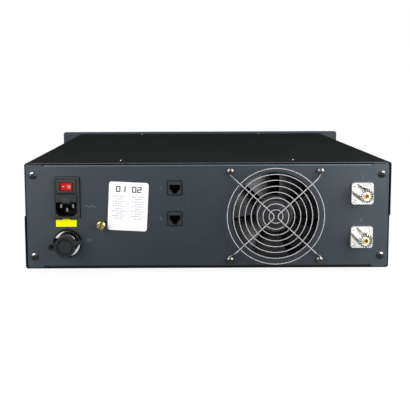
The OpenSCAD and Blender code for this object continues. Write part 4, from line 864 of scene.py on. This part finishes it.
def blade_skin(root, tip, front, depth, thickness, count):
    """One fan blade in mm. Its section is a thin closed loop round the blade: c runs across from the back
    edge to the front edge and the thickness follows a root of the sine. Along u, from hub to tip, the section
    turns on by up to 8 degrees and gets 30 per cent flatter."""
    share, skew, flatter, set_back, camber, bluntness = 0.84, math.radians(8), 0.3, 2.5, 1.5, 0.35
    u = np.linspace(0, 1, 26)[:, None]
    t = np.linspace(0, 2 * np.pi, 72, endpoint=False)[None]
    c = 0.5 - 0.5 * np.cos(t)
    side = np.sign(np.sin(t)) * np.abs(np.sin(t)) ** bluntness
    radius = root + u * (tip - root)
    angle = 2 * np.pi / count * share * (c - 0.5) + skew * u
    height = front - set_back - depth * (1 - flatter * u) * (1 - c) - camber * np.sin(np.pi * c)
    skin = np.stack([radius * np.cos(angle), radius * np.sin(angle), height + side * thickness / 2], -1)
    flat_end = np.stack([radius * np.cos(angle), radius * np.sin(angle), height], -1)
    return np.concatenate([flat_end[:1], skin, flat_end[-1:]])


class REPEATER_OT_impeller(bpy.types.Operator):
    """Builds the fan impeller: a turned hub cup and twisted blades"""

    bl_idname = "repeater.impeller"
    bl_label = "Fan impeller"

    hub, tip, root_overlap, first_blade = 22.0, 55.0, 1.0, math.radians(4)
    wall, edge_round, boss, boss_length = 2.5, 2.0, 4.0, 6.5
    face_steps = ((0, 0.5), (6.5, 0.5), (7.1, 0.05), (14.6, 0.05), (15.2, 0.4), (17.6, 0.4), (18.2, 0))

    def execute(self, context):
        s = sizes()
        fan, front = spot("fan_frame"), stands_out("fan_rotor")
        parts = [rear_skin(turned(self.hub_profile(front)), fan)]
        blade = blade_skin(self.hub - self.root_overlap, self.tip, front, s.blade_depth / MM,
                           s.blade_thickness / MM, s.blade_count)
        for i in range(s.blade_count):
            turn = self.first_blade + 2 * math.pi * i / s.blade_count
            parts.append(rear_skin(turn_flat(blade.copy(), turn), fan))
        add_piece("fan_impeller", parts, "fan", finish("fan_plastic"), ["fan_rotor"])
        return {"FINISHED"}

    def hub_profile(self, front):
        """The hub cup from the middle of its stepped face, over a round edge and back inside to its boss."""
        back = (REAR_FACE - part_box("fan_rotor")[1].y) / MM
        bore, floor = self.hub - self.wall, front - self.wall
        a = np.radians(np.linspace(0, 90, 9))
        face = [(radius, front - sunk) for radius, sunk in self.face_steps]
        edge = [self.hub, front] - self.edge_round * (1 - np.stack([np.sin(a), np.cos(a)], 1))
        inside = [(self.hub, back), (bore, back), (bore, floor), (self.boss, floor),
                  (self.boss, front - self.boss_length), (0, front - self.boss_length)]
        return np.concatenate([face, edge, inside])


class REPEATER_OT_threads(bpy.types.Operator):
    """Cuts the look of a fine thread on the antenna barrels, a radius that rises and falls along a helix, and
    adds the shadowed notches of the rim and the amber bush round each contact"""

    bl_idname = "repeater.threads"
    bl_label = "Antenna threads"

    barrel, flange, rim, run_out = 7.95, 2.6, 1.6, 0.9
    notch_count, notch_radius, notch_size = 16, 7.2, (1.5, 0.9)
    groove_radius, groove_width, bush_radius, bush_width = 6.0, 0.6, 2.75, 0.9

    def execute(self, context):
        for place in ("upper", "lower"):
            node = "antenna_socket_" + place
            end, centre = stands_out(node), spot(node)
            add_piece("antenna_rim_" + place, self.rim_shadows(end, centre), "case",
                      finish("rim_shadow"))
            add_piece("antenna_thread_" + place, [rear_skin(self.thread(end), centre)], "case",
                      finish("thread_nickel"), smooth=80)
            bush = ribbon(circle(self.bush_radius, 72), self.bush_width, end - 1.5, end + 0.02, True)
            add_piece("antenna_bush_" + place, [rear_skin(bush, centre, True)], "case",
                      finish("amber_insulator"))
        return {"FINISHED"}

    def thread(self, end):
        """A skin round the barrel: the ridge follows a helix and fades out at both ends of the thread."""
        pitch, crest = sizes().thread_pitch / MM, sizes().thread_height / MM
        sunk, proud = 0.04, 0.05
        h = np.linspace(self.flange, end - self.rim, 130)[:, None]
        a = np.linspace(0, 2 * np.pi, 72, endpoint=False)[None]
        ridge = 0.5 - 0.5 * np.cos(2 * np.pi * h / pitch - a)
        fade = np.clip(np.minimum(h - self.flange, end - self.rim - h) / self.run_out, 0, 1)
        radius = self.barrel - sunk + (proud + crest * ridge) * fade
        return np.stack([radius * np.cos(a), radius * np.sin(a), np.broadcast_to(h, radius.shape)], -1)

    def rim_shadows(self, end, centre):
        """A dark ring inside the rim, and the notches round it."""
        ring = ribbon(circle(self.groove_radius, 72), self.groove_width, end - 1.0, end + 0.03, True)
        parts = [rear_skin(ring, centre, True)]
        for turn in 2 * np.pi * np.arange(self.notch_count) / self.notch_count:
            notch = bars([(self.notch_radius, 0)], [self.notch_size], end - 1.3, end - 0.6)
            parts.append(rear_bars(notch, centre, turn))
        return parts


class REPEATER_OT_labels(bpy.types.Operator):
    """Sticks on the paper label with plain rows of dashes, and the bare sticker under the mains inlet"""

    bl_idname = "repeater.labels"
    bl_label = "Labels"

    label_place = (-0.0926, MID_HEIGHT + 0.0112)
    sticker_place = (-0.1648, MID_HEIGHT - 0.0085)
    sticker_outline = ((-12.2, -4.0), (11.8, -4.0), (11.8, 4.0), (4.7, 4.0), (4.0, 5.5), (-3.9, 5.5),
                       (-4.4, 4.0), (-12.2, 4.0))
    corner, paper, film_height, label_print = 3.0, (-0.02, 0.12), (-0.02, 0.1), (0.1, 0.15)

    def execute(self, context):
        s = sizes()
        turn = -s.label_turn
        outline = rounded_outline(s.label_width / MM, s.label_height / MM, self.corner)
        sheet = turn_flat(plate(outline, *self.paper), turn)
        add_piece("paper_label", [rear_skin(sheet, self.label_place)], "case",
                  finish("label_paper"))
        add_piece("label_rows", [rear_bars(self.rows(), self.label_place, turn)], "case",
                  finish("label_ink"))
        heads = [rear_bars(self.heading(number, across), self.label_place, turn)
                 for number, across in (("01", -9.2), ("02", 9.4))]
        add_piece("label_heads", heads, "case", finish("label_bold_ink"))
        sheet = plate(np.array(self.sticker_outline), *self.film_height)
        add_piece("inlet_sticker", [rear_skin(sheet, self.sticker_place)], "case",
                  finish("sticker_film"))
        return {"FINISHED"}

    def rows(self):
        """Two columns of ten rows, with five dashes and three by turns. Their widths vary as a wave."""
        columns, pitch, first_row, indent, dash_height = np.array([-11.4, 11.2]), 2.9, 11.6, 0.6, 1.45
        row, dash = np.arange(10), np.arange(5)
        across = columns[:, None, None] + np.where(row % 2, indent, 0.0)[:, None] + pitch * (dash - 2)
        up = np.broadcast_to((first_row - pitch * row)[None, :, None], across.shape)
        kept = np.broadcast_to(np.abs(dash - 2) <= np.where(row % 2, 1, 2)[:, None], across.shape)
        widths = np.broadcast_to(2.3 + 0.5 * np.cos(2.1 * row[:, None] + 1.7 * dash), across.shape)
        centres = np.stack([across[kept], up[kept]], 1)
        return bars(centres, np.stack([widths[kept], np.full(kept.sum(), dash_height)], 1), *self.label_print)

    def heading(self, number, across):
        """A number at the head of a column, drawn wide."""
        centres, extents = numerals(number, 6.0, 1.25)
        return bars(centres * [1.25, 1] + [across, 20.2], extents * [1.1, 1], *self.label_print)


class REPEATER_OT_rear_marks(bpy.types.Operator):
    """Prints plain marks by the rear sockets: numbers, a wave for mains and two lines for low voltage"""

    bl_idname = "repeater.rear_marks"
    bl_label = "Rear marks"

    number_height, weight, line = 3.2, 0.5, 0.6
    numbers = (("1", "data_jack_upper", (-16.5, 0.0)), ("2", "data_jack_lower", (-16.5, 0.0)),
               ("1", "antenna_socket_upper", (0.0, 19.6)), ("2", "antenna_socket_lower", (0.0, 20.2)))
    wave_length, wave_height, wave_place, lines_place = 12.0, 0.9, (27.5, -10.5), (25.0, 3.0)

    def execute(self, context):
        parts = [rear_bars(bars(*numerals(number, self.number_height, self.weight, place), *INK), spot(node))
                 for number, node, place in self.numbers]
        t = np.linspace(0, 1, 81)
        wave = np.stack([self.wave_length * (t - 0.5), self.wave_height * np.sin(4 * np.pi * t)], 1)
        parts.append(rear_skin(ribbon(wave + self.wave_place, self.line, *INK), spot("inlet_body")))
        centres = np.array([(0, 0.8), (-2.1, -0.8), (0, -0.8), (2.1, -0.8)]) + self.lines_place
        dashes = bars(centres, [(6, self.line)] + [(1.4, self.line)] * 3, *INK)
        parts.append(rear_bars(dashes, spot("dc_socket")))
        add_piece("rear_legends", parts, "case", finish("legend_ink"))
        return {"FINISHED"}


class REPEATER_OT_inlet_details(bpy.types.Operator):
    """Marks the two ends of the rocker and shades its edges, and puts the rim, grip, ribs and dots on the
    drawer"""

    bl_idname = "repeater.inlet_details"
    bl_label = "Rocker marks and drawer ribs"

    slope, lean = math.atan2(1.2, 7.35), math.radians(12)
    half_middle, crown = 3.9, 1.3

    def execute(self, context):
        self.rocker_marks()
        self.rocker_edges()
        self.drawer_relief()
        return {"FINISHED"}

    def on_rocker(self, shape, side):
        """A flat shape carried on to one of the rocker's two slopes: turned by the slope, moved out to the
        middle of that half, then turned by the rocker's own lean about its hinge."""
        points, quads = shape
        hinge = np.array(ROCKER["pos_m"])
        x, y, up = points.T
        fall, ridge = -side * self.slope, self.crown + self.half_middle * math.tan(self.slope)
        across = x * math.cos(fall) + up * math.sin(fall) + side * self.half_middle
        height = -x * math.sin(fall) + up * math.cos(fall) + ridge
        tilted = np.stack([across * math.cos(self.lean) - height * math.sin(self.lean), y,
                           across * math.sin(self.lean) + height * math.cos(self.lean)], 1)
        return on_rear(tilted + [0, 0, (REAR_FACE - hinge[1]) / MM], hinge[0], hinge[2]), quads

    def rocker_marks(self):
        """A ring on the right half and a dash on the left half."""
        ring = ribbon(circle(1.55, 48) + [0.95, 0], 0.48, -0.03, 0.05, True)
        dash = bars([(1.4, 0)], [(2.4, 0.6)], -0.03, 0.05)
        parts = [self.on_rocker(grid(ring, True, True), 1), self.on_rocker(dash, -1)]
        add_piece("rocker_marks", parts, "rocker", finish("mark_ink"))

    def rocker_edges(self):
        """Painted shade: dark strips along the upper and lower edges of both halves, and down the left half's
        outer end.
        """
        tall, strip, along, inwards, end_strip = span("rocker_switch")[1], 0.9, 6.9, 0.4, 1.9
        edge = (tall - strip) / 2
        parts = []
        for side in (-1, 1):
            centres = [(-side * inwards, edge), (-side * inwards, -edge)]
            parts.append(self.on_rocker(bars(centres, [(along, strip)], -0.03, 0.03), side))
        parts.append(self.on_rocker(bars([(-2.05, 0)], [(end_strip, tall - 0.2)], -0.03, 0.04), -1))
        add_piece("rocker_edges", parts, "rocker", finish("rocker_shade"))

    def drawer_relief(self):
        """Painted shade as a dark line round the drawer's face, and a grip, two ribs and two dots on it in lighter
        plastic as painted highlight.
        """
        face, root = stands_out("fuse_drawer"), stands_out("fuse_drawer") - 0.05
        place = (spot("fuse_drawer")[0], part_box("fuse_drawer")[1].z - 0.0046)
        rim = ribbon(rounded_outline(24.4, 8.6, 1.0), 0.5, root, face + 0.1, True)
        add_piece("drawer_rim", [rear_skin(rim, place, True)], "drawer",
                  finish("groove_plastic"))
        grip = plate(rounded_outline(9.6, 4.2, 0.7), root, face + 0.7, 0.4)
        rib = plate(rounded_outline(0.7, 3.4, 0.3), root, face + 0.4, 0.2)
        dot = plate(rounded_outline(1.7, 1.7, 0.8), root, face + 0.45, 0.3)
        reliefs = [grip + [0, -2.5, 0]]
        reliefs += [rib + [side * 6.6, -1.8, 0] for side in (-1, 1)]
        reliefs += [dot + [side * 9.3, 1.9, 0] for side in (-1, 1)]
        parts = [rear_skin(relief, place) for relief in reliefs]
        # painted highlight: the raised shapes are coloured lighter than the drawer
        add_piece("drawer_ribs", parts, "drawer", finish("relief_plastic"))


def outline_strip(node, margin, width, low, high):
    """A flat strip round a rear fitting: the oblong of its box, widened by a margin, as a closed ribbon."""
    across, up = span(node)
    outline = rounded_outline(across + 2 * margin, up + 2 * margin, 1.5)
    return rear_skin(ribbon(outline, width, low, high, True), spot(node), True)


class REPEATER_OT_rear_trim(bpy.types.Operator):
    """Adds thin rear trim: a painted highlight on the cover's edge and on the panel's bend, and black strips of
    painted shade under the cover, round the jacks and the inlet, inside its socket, in the switch bezel's groove,
    round the flange of the low-voltage socket, in the eye and groove of its cap, and in the slot of the earth
    screw"""

    bl_idname = "repeater.rear_trim"
    bl_label = "Rear trim"

    edge_margin, bend_margin = 6.0, 20.2
    cavity_width, cavity_height, cavity_bevel, cavity_middle, lining = 25.0, 16.4, 4.5, -13.6, 0.1
    cap_groove, cap_eye, ear, ear_turn = 8.9, 2.6, 4.0, math.radians(183)

    def execute(self, context):
        top = (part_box("top_cover")[1].z - MID_HEIGHT) / MM
        edge = span("top_cover")[0] - 2 * self.edge_margin
        bend = span("rear_panel")[0] - 2 * self.bend_margin
        cover, panel = (spot("top_cover")[0], MID_HEIGHT), (spot("rear_panel")[0], MID_HEIGHT)
        # painted highlight: a lighter strip along the cover's rear edge
        edge_glint = bars([(0, top - 0.55)], [(edge, 0.9)], -0.02, 0.04)
        add_piece("cover_edge", [rear_bars(edge_glint, cover)], "case", finish("edge_paint"))
        # painted highlight: a strip of much lighter panel paint along the top bend
        bend_highlight = bars([(0, top - 3.2)], [(bend - 1.0, 1.3)], -0.3, 0.02)
        add_piece("panel_bend", [rear_bars(bend_highlight, panel)], "case", finish("bend_paint"))
        face = stands_out("inlet_body")
        # painted shade: a near-black strip round the switch bezel
        groove = outline_strip("switch_frame", 0.4, 1.2, face - 0.02, face + 0.05)
        add_piece("bezel_groove", [groove], "case", finish("groove_plastic"))
        self.earth_slot()
        # painted shade: black strips in the gap under the cover, over the panel's top bend
        gap_shade = bars([(0, top - 1.75), (0, top - 1.5)], [(bend, 1.5), (edge, 1.0)], -2.0, 0.03)
        parts = [rear_bars(gap_shade, panel)] + self.fitting_gap_shade()
        parts += [self.seam_shade(), self.socket_shade_lining(face), self.socket_edge_shade()]
        add_piece("rear_gaps", parts, "case", finish("gap_black"))
        self.cap_marks()
        return {"FINISHED"}

    def earth_slot(self):
        """Painted shade: a dark strip in the slot across the head of the earth screw."""
        slot = bars([(0, 0)], [(span("ground_post")[0] - 0.6, 1.3)], 6.75, 7.6)
        parts = [rear_bars(slot, spot("ground_post"), math.radians(70))]
        add_piece("earth_slot", parts, "case", finish("earth_slot"))

    def fitting_gap_shade(self):
        """Painted shade: black strips round both data jacks, and at the right and the top of the mains inlet."""
        parts = []
        for jack in ("data_jack_upper", "data_jack_lower"):
            face = stands_out(jack)
            parts.append(outline_strip(jack, -0.45, 0.8, face - 0.02, face + 0.04))
        across, up = span("inlet_body")
        centres = [(across / 2 + 0.2, 0.2), (0, up / 2 + 0.1)]
        extents = [(1.3, up - 2.0), (across - 2.0, 0.7)]
        return parts + [rear_bars(bars(centres, extents, -0.02, 0.08), spot("inlet_body"))]

    def seam_shade(self):
        """Painted shade: a black block behind the right end of the seam between the cover and the tray."""
        edge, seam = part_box("bottom_tray")[1].x / MM, (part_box("top_cover")[0].z - MID_HEIGHT) / MM
        return rear_bars(bars([(edge - 0.3, seam - 0.6)], [(1.8, 1.4)], -6.0, -0.02), (0.0, MID_HEIGHT))

    def socket_shade_lining(self, face):
        """Painted shade: a thin black wall inside the mains socket, an oblong with its two lower corners cut off.
        """
        half_w, half_h, inset, depth = self.cavity_width / 2, self.cavity_height / 2, 0.992, 14.0
        low_h, low_w = self.cavity_bevel - half_h, half_w - self.cavity_bevel
        outline = np.array([(half_w, half_h), (-half_w, half_h), (-half_w, low_h), (-low_w, -half_h),
                            (low_w, -half_h), (half_w, low_h)]) * inset + [0, self.cavity_middle]
        wall = ribbon(outline, self.lining, face - depth, face - 0.15, True)
        return rear_skin(wall, spot("inlet_body"), True)

    def socket_edge_shade(self):
        """Painted shade: a black ring, shaped as a lip, round the flange of the low-voltage socket."""
        rim, lip = span("dc_socket")[0] / 2, 3.15
        profile = [(rim - 1.0, lip - 0.25), (rim - 1.0, lip), (rim + 0.25, lip), (rim + 0.25, -0.02)]
        return rear_skin(turned(profile), spot("dc_socket"))

    def cap_marks(self):
        """Painted shade: a black plug in the eye of the cap's ear and a black ring in the groove round its face.
        """
        socket, front = middle("dc_socket"), stands_out("dc_cap")
        reach = (socket.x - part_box("dc_cap")[0].x) / MM - self.ear
        low, high = front - 1.9, front - 0.57
        eye = turned([(0, low), (self.cap_eye, low), (self.cap_eye, high), (0, high)], 32)
        eye += [reach * math.cos(self.ear_turn) + 0.7, reach * math.sin(self.ear_turn) + 1.0, 0]
        groove = ribbon(circle(self.cap_groove, 96), 0.9, front - 0.4, front + 0.02, True)
        place = spot("dc_socket")
        add_piece("cap_marks", [rear_skin(eye, place), rear_skin(groove, place, True)], "cap",
                  finish("gap_black"))


class REPEATER_OT_front_marks(bpy.types.Operator):
    """Prints the front: knob pointers, the volume scale, key numbers and a lit channel number"""

    bl_idname = "repeater.front_marks"
    bl_label = "Front marks"

    number_height, weight, scale_radius, scale_numbers, key_gap = 2.8, 0.45, 15.4, 20.2, 8.2
    lit = (-0.01, 0.02)

    def execute(self, context):
        self.pointer("channel_knob", "channel")
        self.pointer("volume_knob", "volume")
        parts = self.volume_scale()
        for i, key in enumerate(("key_left", "key_middle", "key_right")):
            parts.append(self.number(str(i + 1), key, (0, self.key_gap)))
        add_piece("front_legends", parts, "case", finish("legend_ink"))
        self.display()
        return {"FINISHED"}

    def number(self, text, node, place):
        """A small printed number at a place about a front fitting."""
        return front_bars(bars(*numerals(text, self.number_height, self.weight, place), *INK), spot(node))

    def pointer(self, knob, body):
        """The white line on a knob's face."""
        top, radius = (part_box(knob)[1].y - FRONT_FACE) / MM, span(knob)[0] / 2
        line = bars([(0, radius - 5)], [(1.1, 5.9)], top - 0.6, top - 0.15)
        add_piece(body + "_pointer", [front_bars(line, spot(knob))], body,
                  finish("mark_ink"))

    def volume_scale(self):
        """Eleven strokes over 300 degrees, every fifth longer, with numbers at both ends and the middle."""
        turns = np.radians(np.linspace(150, -150, 11))
        parts = []
        for i, turn in enumerate(turns):
            stroke = bars([(0, self.scale_radius)], [(0.5, 2.6 if i % 5 else 3.8)], *INK)
            parts.append(front_bars(stroke, spot("volume_knob"), turn))
        for text, turn in (("0", turns[0]), ("5", turns[5]), ("10", turns[10])):
            place = (-self.scale_numbers * math.sin(turn), self.scale_numbers * math.cos(turn))
            parts.append(self.number(text, "volume_knob", place))
        return parts

    def display(self):
        """A lit channel number, a level meter of fourteen bars and a smaller number above it."""
        meter = np.stack([np.arange(14) * 3.2 - 6.0, np.full(14, -7.4)], 1)
        shapes = [bars(*numerals("07", 15.0, 1.7, (-26.0, 0)), *self.lit),
                  bars(meter, [(2.2, 4.0)], *self.lit),
                  bars(*numerals("14625", 7.5, 0.9, (15.0, 4.8)), *self.lit)]
        parts = [front_bars(shape, spot("display_window")) for shape in shapes]
        add_piece("display_strokes", parts, "case", finish("display_ink"))


def softbox(name, place, aim, side, power):
    """A soft square lamp that looks at a point."""
    lamp = bpy.data.lights.new(name, "AREA")
    lamp.shape = "RECTANGLE"
    lamp.size, lamp.size_y, lamp.energy = side, side, power
    holder = bpy.data.objects.new(name, lamp)
    bpy.context.scene.collection.objects.link(holder)
    place, aim = np.array(place), np.array(aim)
    back = (place - aim) / np.linalg.norm(place - aim)
    right = np.cross([0, 0, 1], back)
    right /= np.linalg.norm(right)
    holder.matrix_world = Matrix(np.column_stack([right, np.cross(back, right), back]).tolist()).to_4x4()
    holder.location = place
    holder.visible_camera = False


def seen_directly(tree):
    """One where a ray comes from the camera, or through a reflection or glass, and nought elsewhere."""
    path = tree.nodes.new("ShaderNodeLightPath")
    value = path.outputs["Is Camera Ray"]
    for other in ("Is Glossy Ray", "Is Transmission Ray"):
        value = joined(tree, "MAXIMUM", value, path.outputs[other])
    return value


def dark_middle(tree, place, start, end):
    """Strength of what reflections see: low near the middle, where the camera stands, and full to both sides.
    One for every other kind of ray."""
    split = tree.nodes.new("ShaderNodeSeparateXYZ")
    tree.links.new(place, split.inputs["Vector"])
    sideways = carried(tree, joined(tree, "ABSOLUTE", split.outputs["X"]), 0.12, 1.0, start, end)
    glossy = tree.nodes.new("ShaderNodeLightPath").outputs["Is Glossy Ray"]
    return joined(tree, "MAXIMUM", sideways, joined(tree, "SUBTRACT", 1.0, glossy))


def mixed(tree, factor, below, above):
    """Two shaders mixed by a factor."""
    node = tree.nodes.new("ShaderNodeMixShader")
    for source, socket in zip((factor, below, above), node.inputs):
        tree.links.new(source, socket)
    return node.outputs[0]


def pale_floor():
    """Floor that is white where it is seen, a little greyer and shaded near the object, and that sheds little
    light."""
    material = bpy.data.materials.new("pale_floor")
    material.use_nodes = True
    tree = material.node_tree
    tree.nodes.clear()
    dim, pale = (tree.nodes.new("ShaderNodeBsdfDiffuse") for i in range(2))
    dim.inputs["Color"].default_value = (0.08, 0.08, 0.08, 1.0)
    pale.inputs["Color"].default_value = (0.9, 0.9, 0.9, 1.0)
    white = tree.nodes.new("ShaderNodeEmission")
    place = tree.nodes.new("ShaderNodeTexCoord").outputs["Object"]
    tree.links.new(dark_middle(tree, place, 0.06, 0.26), white.inputs["Strength"])
    reach = tree.nodes.new("ShaderNodeVectorMath")
    reach.operation = "LENGTH"
    tree.links.new(place, reach.inputs[0])
    share = carried(tree, reach.outputs["Value"], 0.93, 1.0, 0.3, 1.3)
    shown = mixed(tree, share, pale.outputs[0], white.outputs[0])
    output = tree.nodes.new("ShaderNodeOutputMaterial")
    tree.links.new(mixed(tree, seen_directly(tree), dim.outputs[0], shown), output.inputs["Surface"])
    return material


class REPEATER_OT_stage(bpy.types.Operator):
    """Sets the pale floor, the white surroundings, four softboxes and the camera"""

    bl_idname = "repeater.stage"
    bl_label = "Stage"

    floor_radius, floor_drop = 6.0, 0.0003

    def execute(self, context):
        settings = context.scene.repeater_stage
        self.floor()
        self.surroundings(settings)
        aim = (0.0, -0.1, MID_HEIGHT)
        softbox("left_softbox", (-0.475, -0.447, 0.37), aim, 0.6, settings.key_power)
        softbox("right_softbox", (0.50, -0.447, 0.31), aim, 0.5, settings.fill_power)
        softbox("front_left_softbox", (0.9, 1.1, 0.5), aim, 0.8, settings.front_power)
        softbox("front_right_softbox", (-0.9, 1.1, 0.5), aim, 0.8, settings.front_power)
        self.camera(context, settings)
        context.scene.view_settings.view_transform = "Standard"
        return {"FINISHED"}

    def floor(self):
        """A flat disc just under the feet."""
        radii = np.linspace(0, self.floor_radius, 7)
        disc = turned(np.column_stack([radii, np.full(7, -self.floor_drop)]), 64)
        mesh = clean_mesh("floor", [grid(disc, False, True)])
        mesh.materials.append(pale_floor())
        floor = bpy.data.objects.new("floor", mesh)
        bpy.context.scene.collection.objects.link(floor)

    def surroundings(self, settings):
        """White where the camera or glass looks, white at the sides in reflections but for a dark part at the
        upper right, and a low even light for everything else."""
        world = bpy.data.worlds.new("surroundings")
        bpy.context.scene.world = world
        world.use_nodes = True
        tree = world.node_tree
        tree.nodes.clear()
        soft, white = (tree.nodes.new("ShaderNodeBackground") for i in range(2))
        soft.inputs["Strength"].default_value = settings.room_light
        soft.inputs["Color"].default_value = white.inputs["Color"].default_value = (1.0, 1.0, 1.0, 1.0)
        place = tree.nodes.new("ShaderNodeTexCoord").outputs["Generated"]
        glossy = tree.nodes.new("ShaderNodeLightPath").outputs["Is Glossy Ray"]
        along = tree.nodes.new("ShaderNodeVectorMath")
        along.operation = "DOT_PRODUCT"
        along.inputs[1].default_value = (1.0, 0.0, 1.0)
        tree.links.new(place, along.inputs[0])
        dark = joined(tree, "MULTIPLY", carried(tree, along.outputs["Value"], 0.0, 0.85, 0.95, 1.25), glossy)
        strength = joined(tree, "SUBTRACT", dark_middle(tree, place, 0.08, 0.35), dark)
        tree.links.new(strength, white.inputs["Strength"])
        output = tree.nodes.new("ShaderNodeOutputWorld")
        shown = mixed(tree, seen_directly(tree), soft.outputs[0], white.outputs[0])
        tree.links.new(shown, output.inputs["Surface"])

    def camera(self, context, settings):
        """The camera looks along +Y, tilted down, then rolled about its own line of sight."""
        ahead = np.array([0.0, math.cos(settings.tilt), -math.sin(settings.tilt)])
        level = np.array([1.0, 0.0, 0.0])
        right = math.cos(settings.roll) * level + math.sin(settings.roll) * np.cross(level, ahead)
        up = np.cross(right, ahead)
        data = bpy.data.cameras.new("camera")
        data.sensor_width, data.lens = 36.0, settings.lens
        data.shift_x, data.shift_y = settings.rise
        camera = bpy.data.objects.new("camera", data)
        context.scene.collection.objects.link(camera)
        camera.matrix_world = Matrix(np.column_stack([right, up, -ahead]).tolist()).to_4x4()
        camera.location = settings.eye
        context.scene.camera = camera


OPERATORS = (REPEATER_OT_paint, REPEATER_OT_guard, REPEATER_OT_impeller, REPEATER_OT_threads,
             REPEATER_OT_labels, REPEATER_OT_rear_marks, REPEATER_OT_inlet_details, REPEATER_OT_rear_trim,
             REPEATER_OT_front_marks, REPEATER_OT_stage)
GROUPS = (RepeaterSizes, RepeaterColours, RepeaterStage)


class REPEATER_PT_sidebar(bpy.types.Panel):
    """Lists the pieces, their sizes and their colours"""

    bl_idname = "REPEATER_PT_sidebar"
    bl_label = "Radio repeater"
    bl_space_type = "VIEW_3D"
    bl_region_type = "UI"
    bl_category = "Repeater"

    def draw(self, context):
        for operator in OPERATORS:
            self.layout.operator(operator.bl_idname)
        scene = context.scene
        for group in (scene.repeater_sizes, scene.repeater_colours, scene.repeater_stage):
            column = self.layout.column()
            for name in group.__annotations__:
                column.prop(group, name)


def register():
    for group in GROUPS + OPERATORS + (REPEATER_PT_sidebar,):
        bpy.utils.register_class(group)
    bpy.types.Scene.repeater_sizes = bpy.props.PointerProperty(type=RepeaterSizes)
    bpy.types.Scene.repeater_colours = bpy.props.PointerProperty(type=RepeaterColours)
    bpy.types.Scene.repeater_stage = bpy.props.PointerProperty(type=RepeaterStage)


def unregister():
    del bpy.types.Scene.repeater_stage
    del bpy.types.Scene.repeater_colours
    del bpy.types.Scene.repeater_sizes
    for group in reversed(GROUPS + OPERATORS + (REPEATER_PT_sidebar,)):
        bpy.utils.unregister_class(group)


def main():
    register()
    bpy.ops.repeater.paint()
    bpy.ops.repeater.guard()
    bpy.ops.repeater.impeller()
    bpy.ops.repeater.threads()
    bpy.ops.repeater.labels()
    bpy.ops.repeater.rear_marks()
    bpy.ops.repeater.inlet_details()
    bpy.ops.repeater.rear_trim()
    bpy.ops.repeater.front_marks()
    bpy.ops.repeater.stage()


if __name__ == "__main__":
    main()
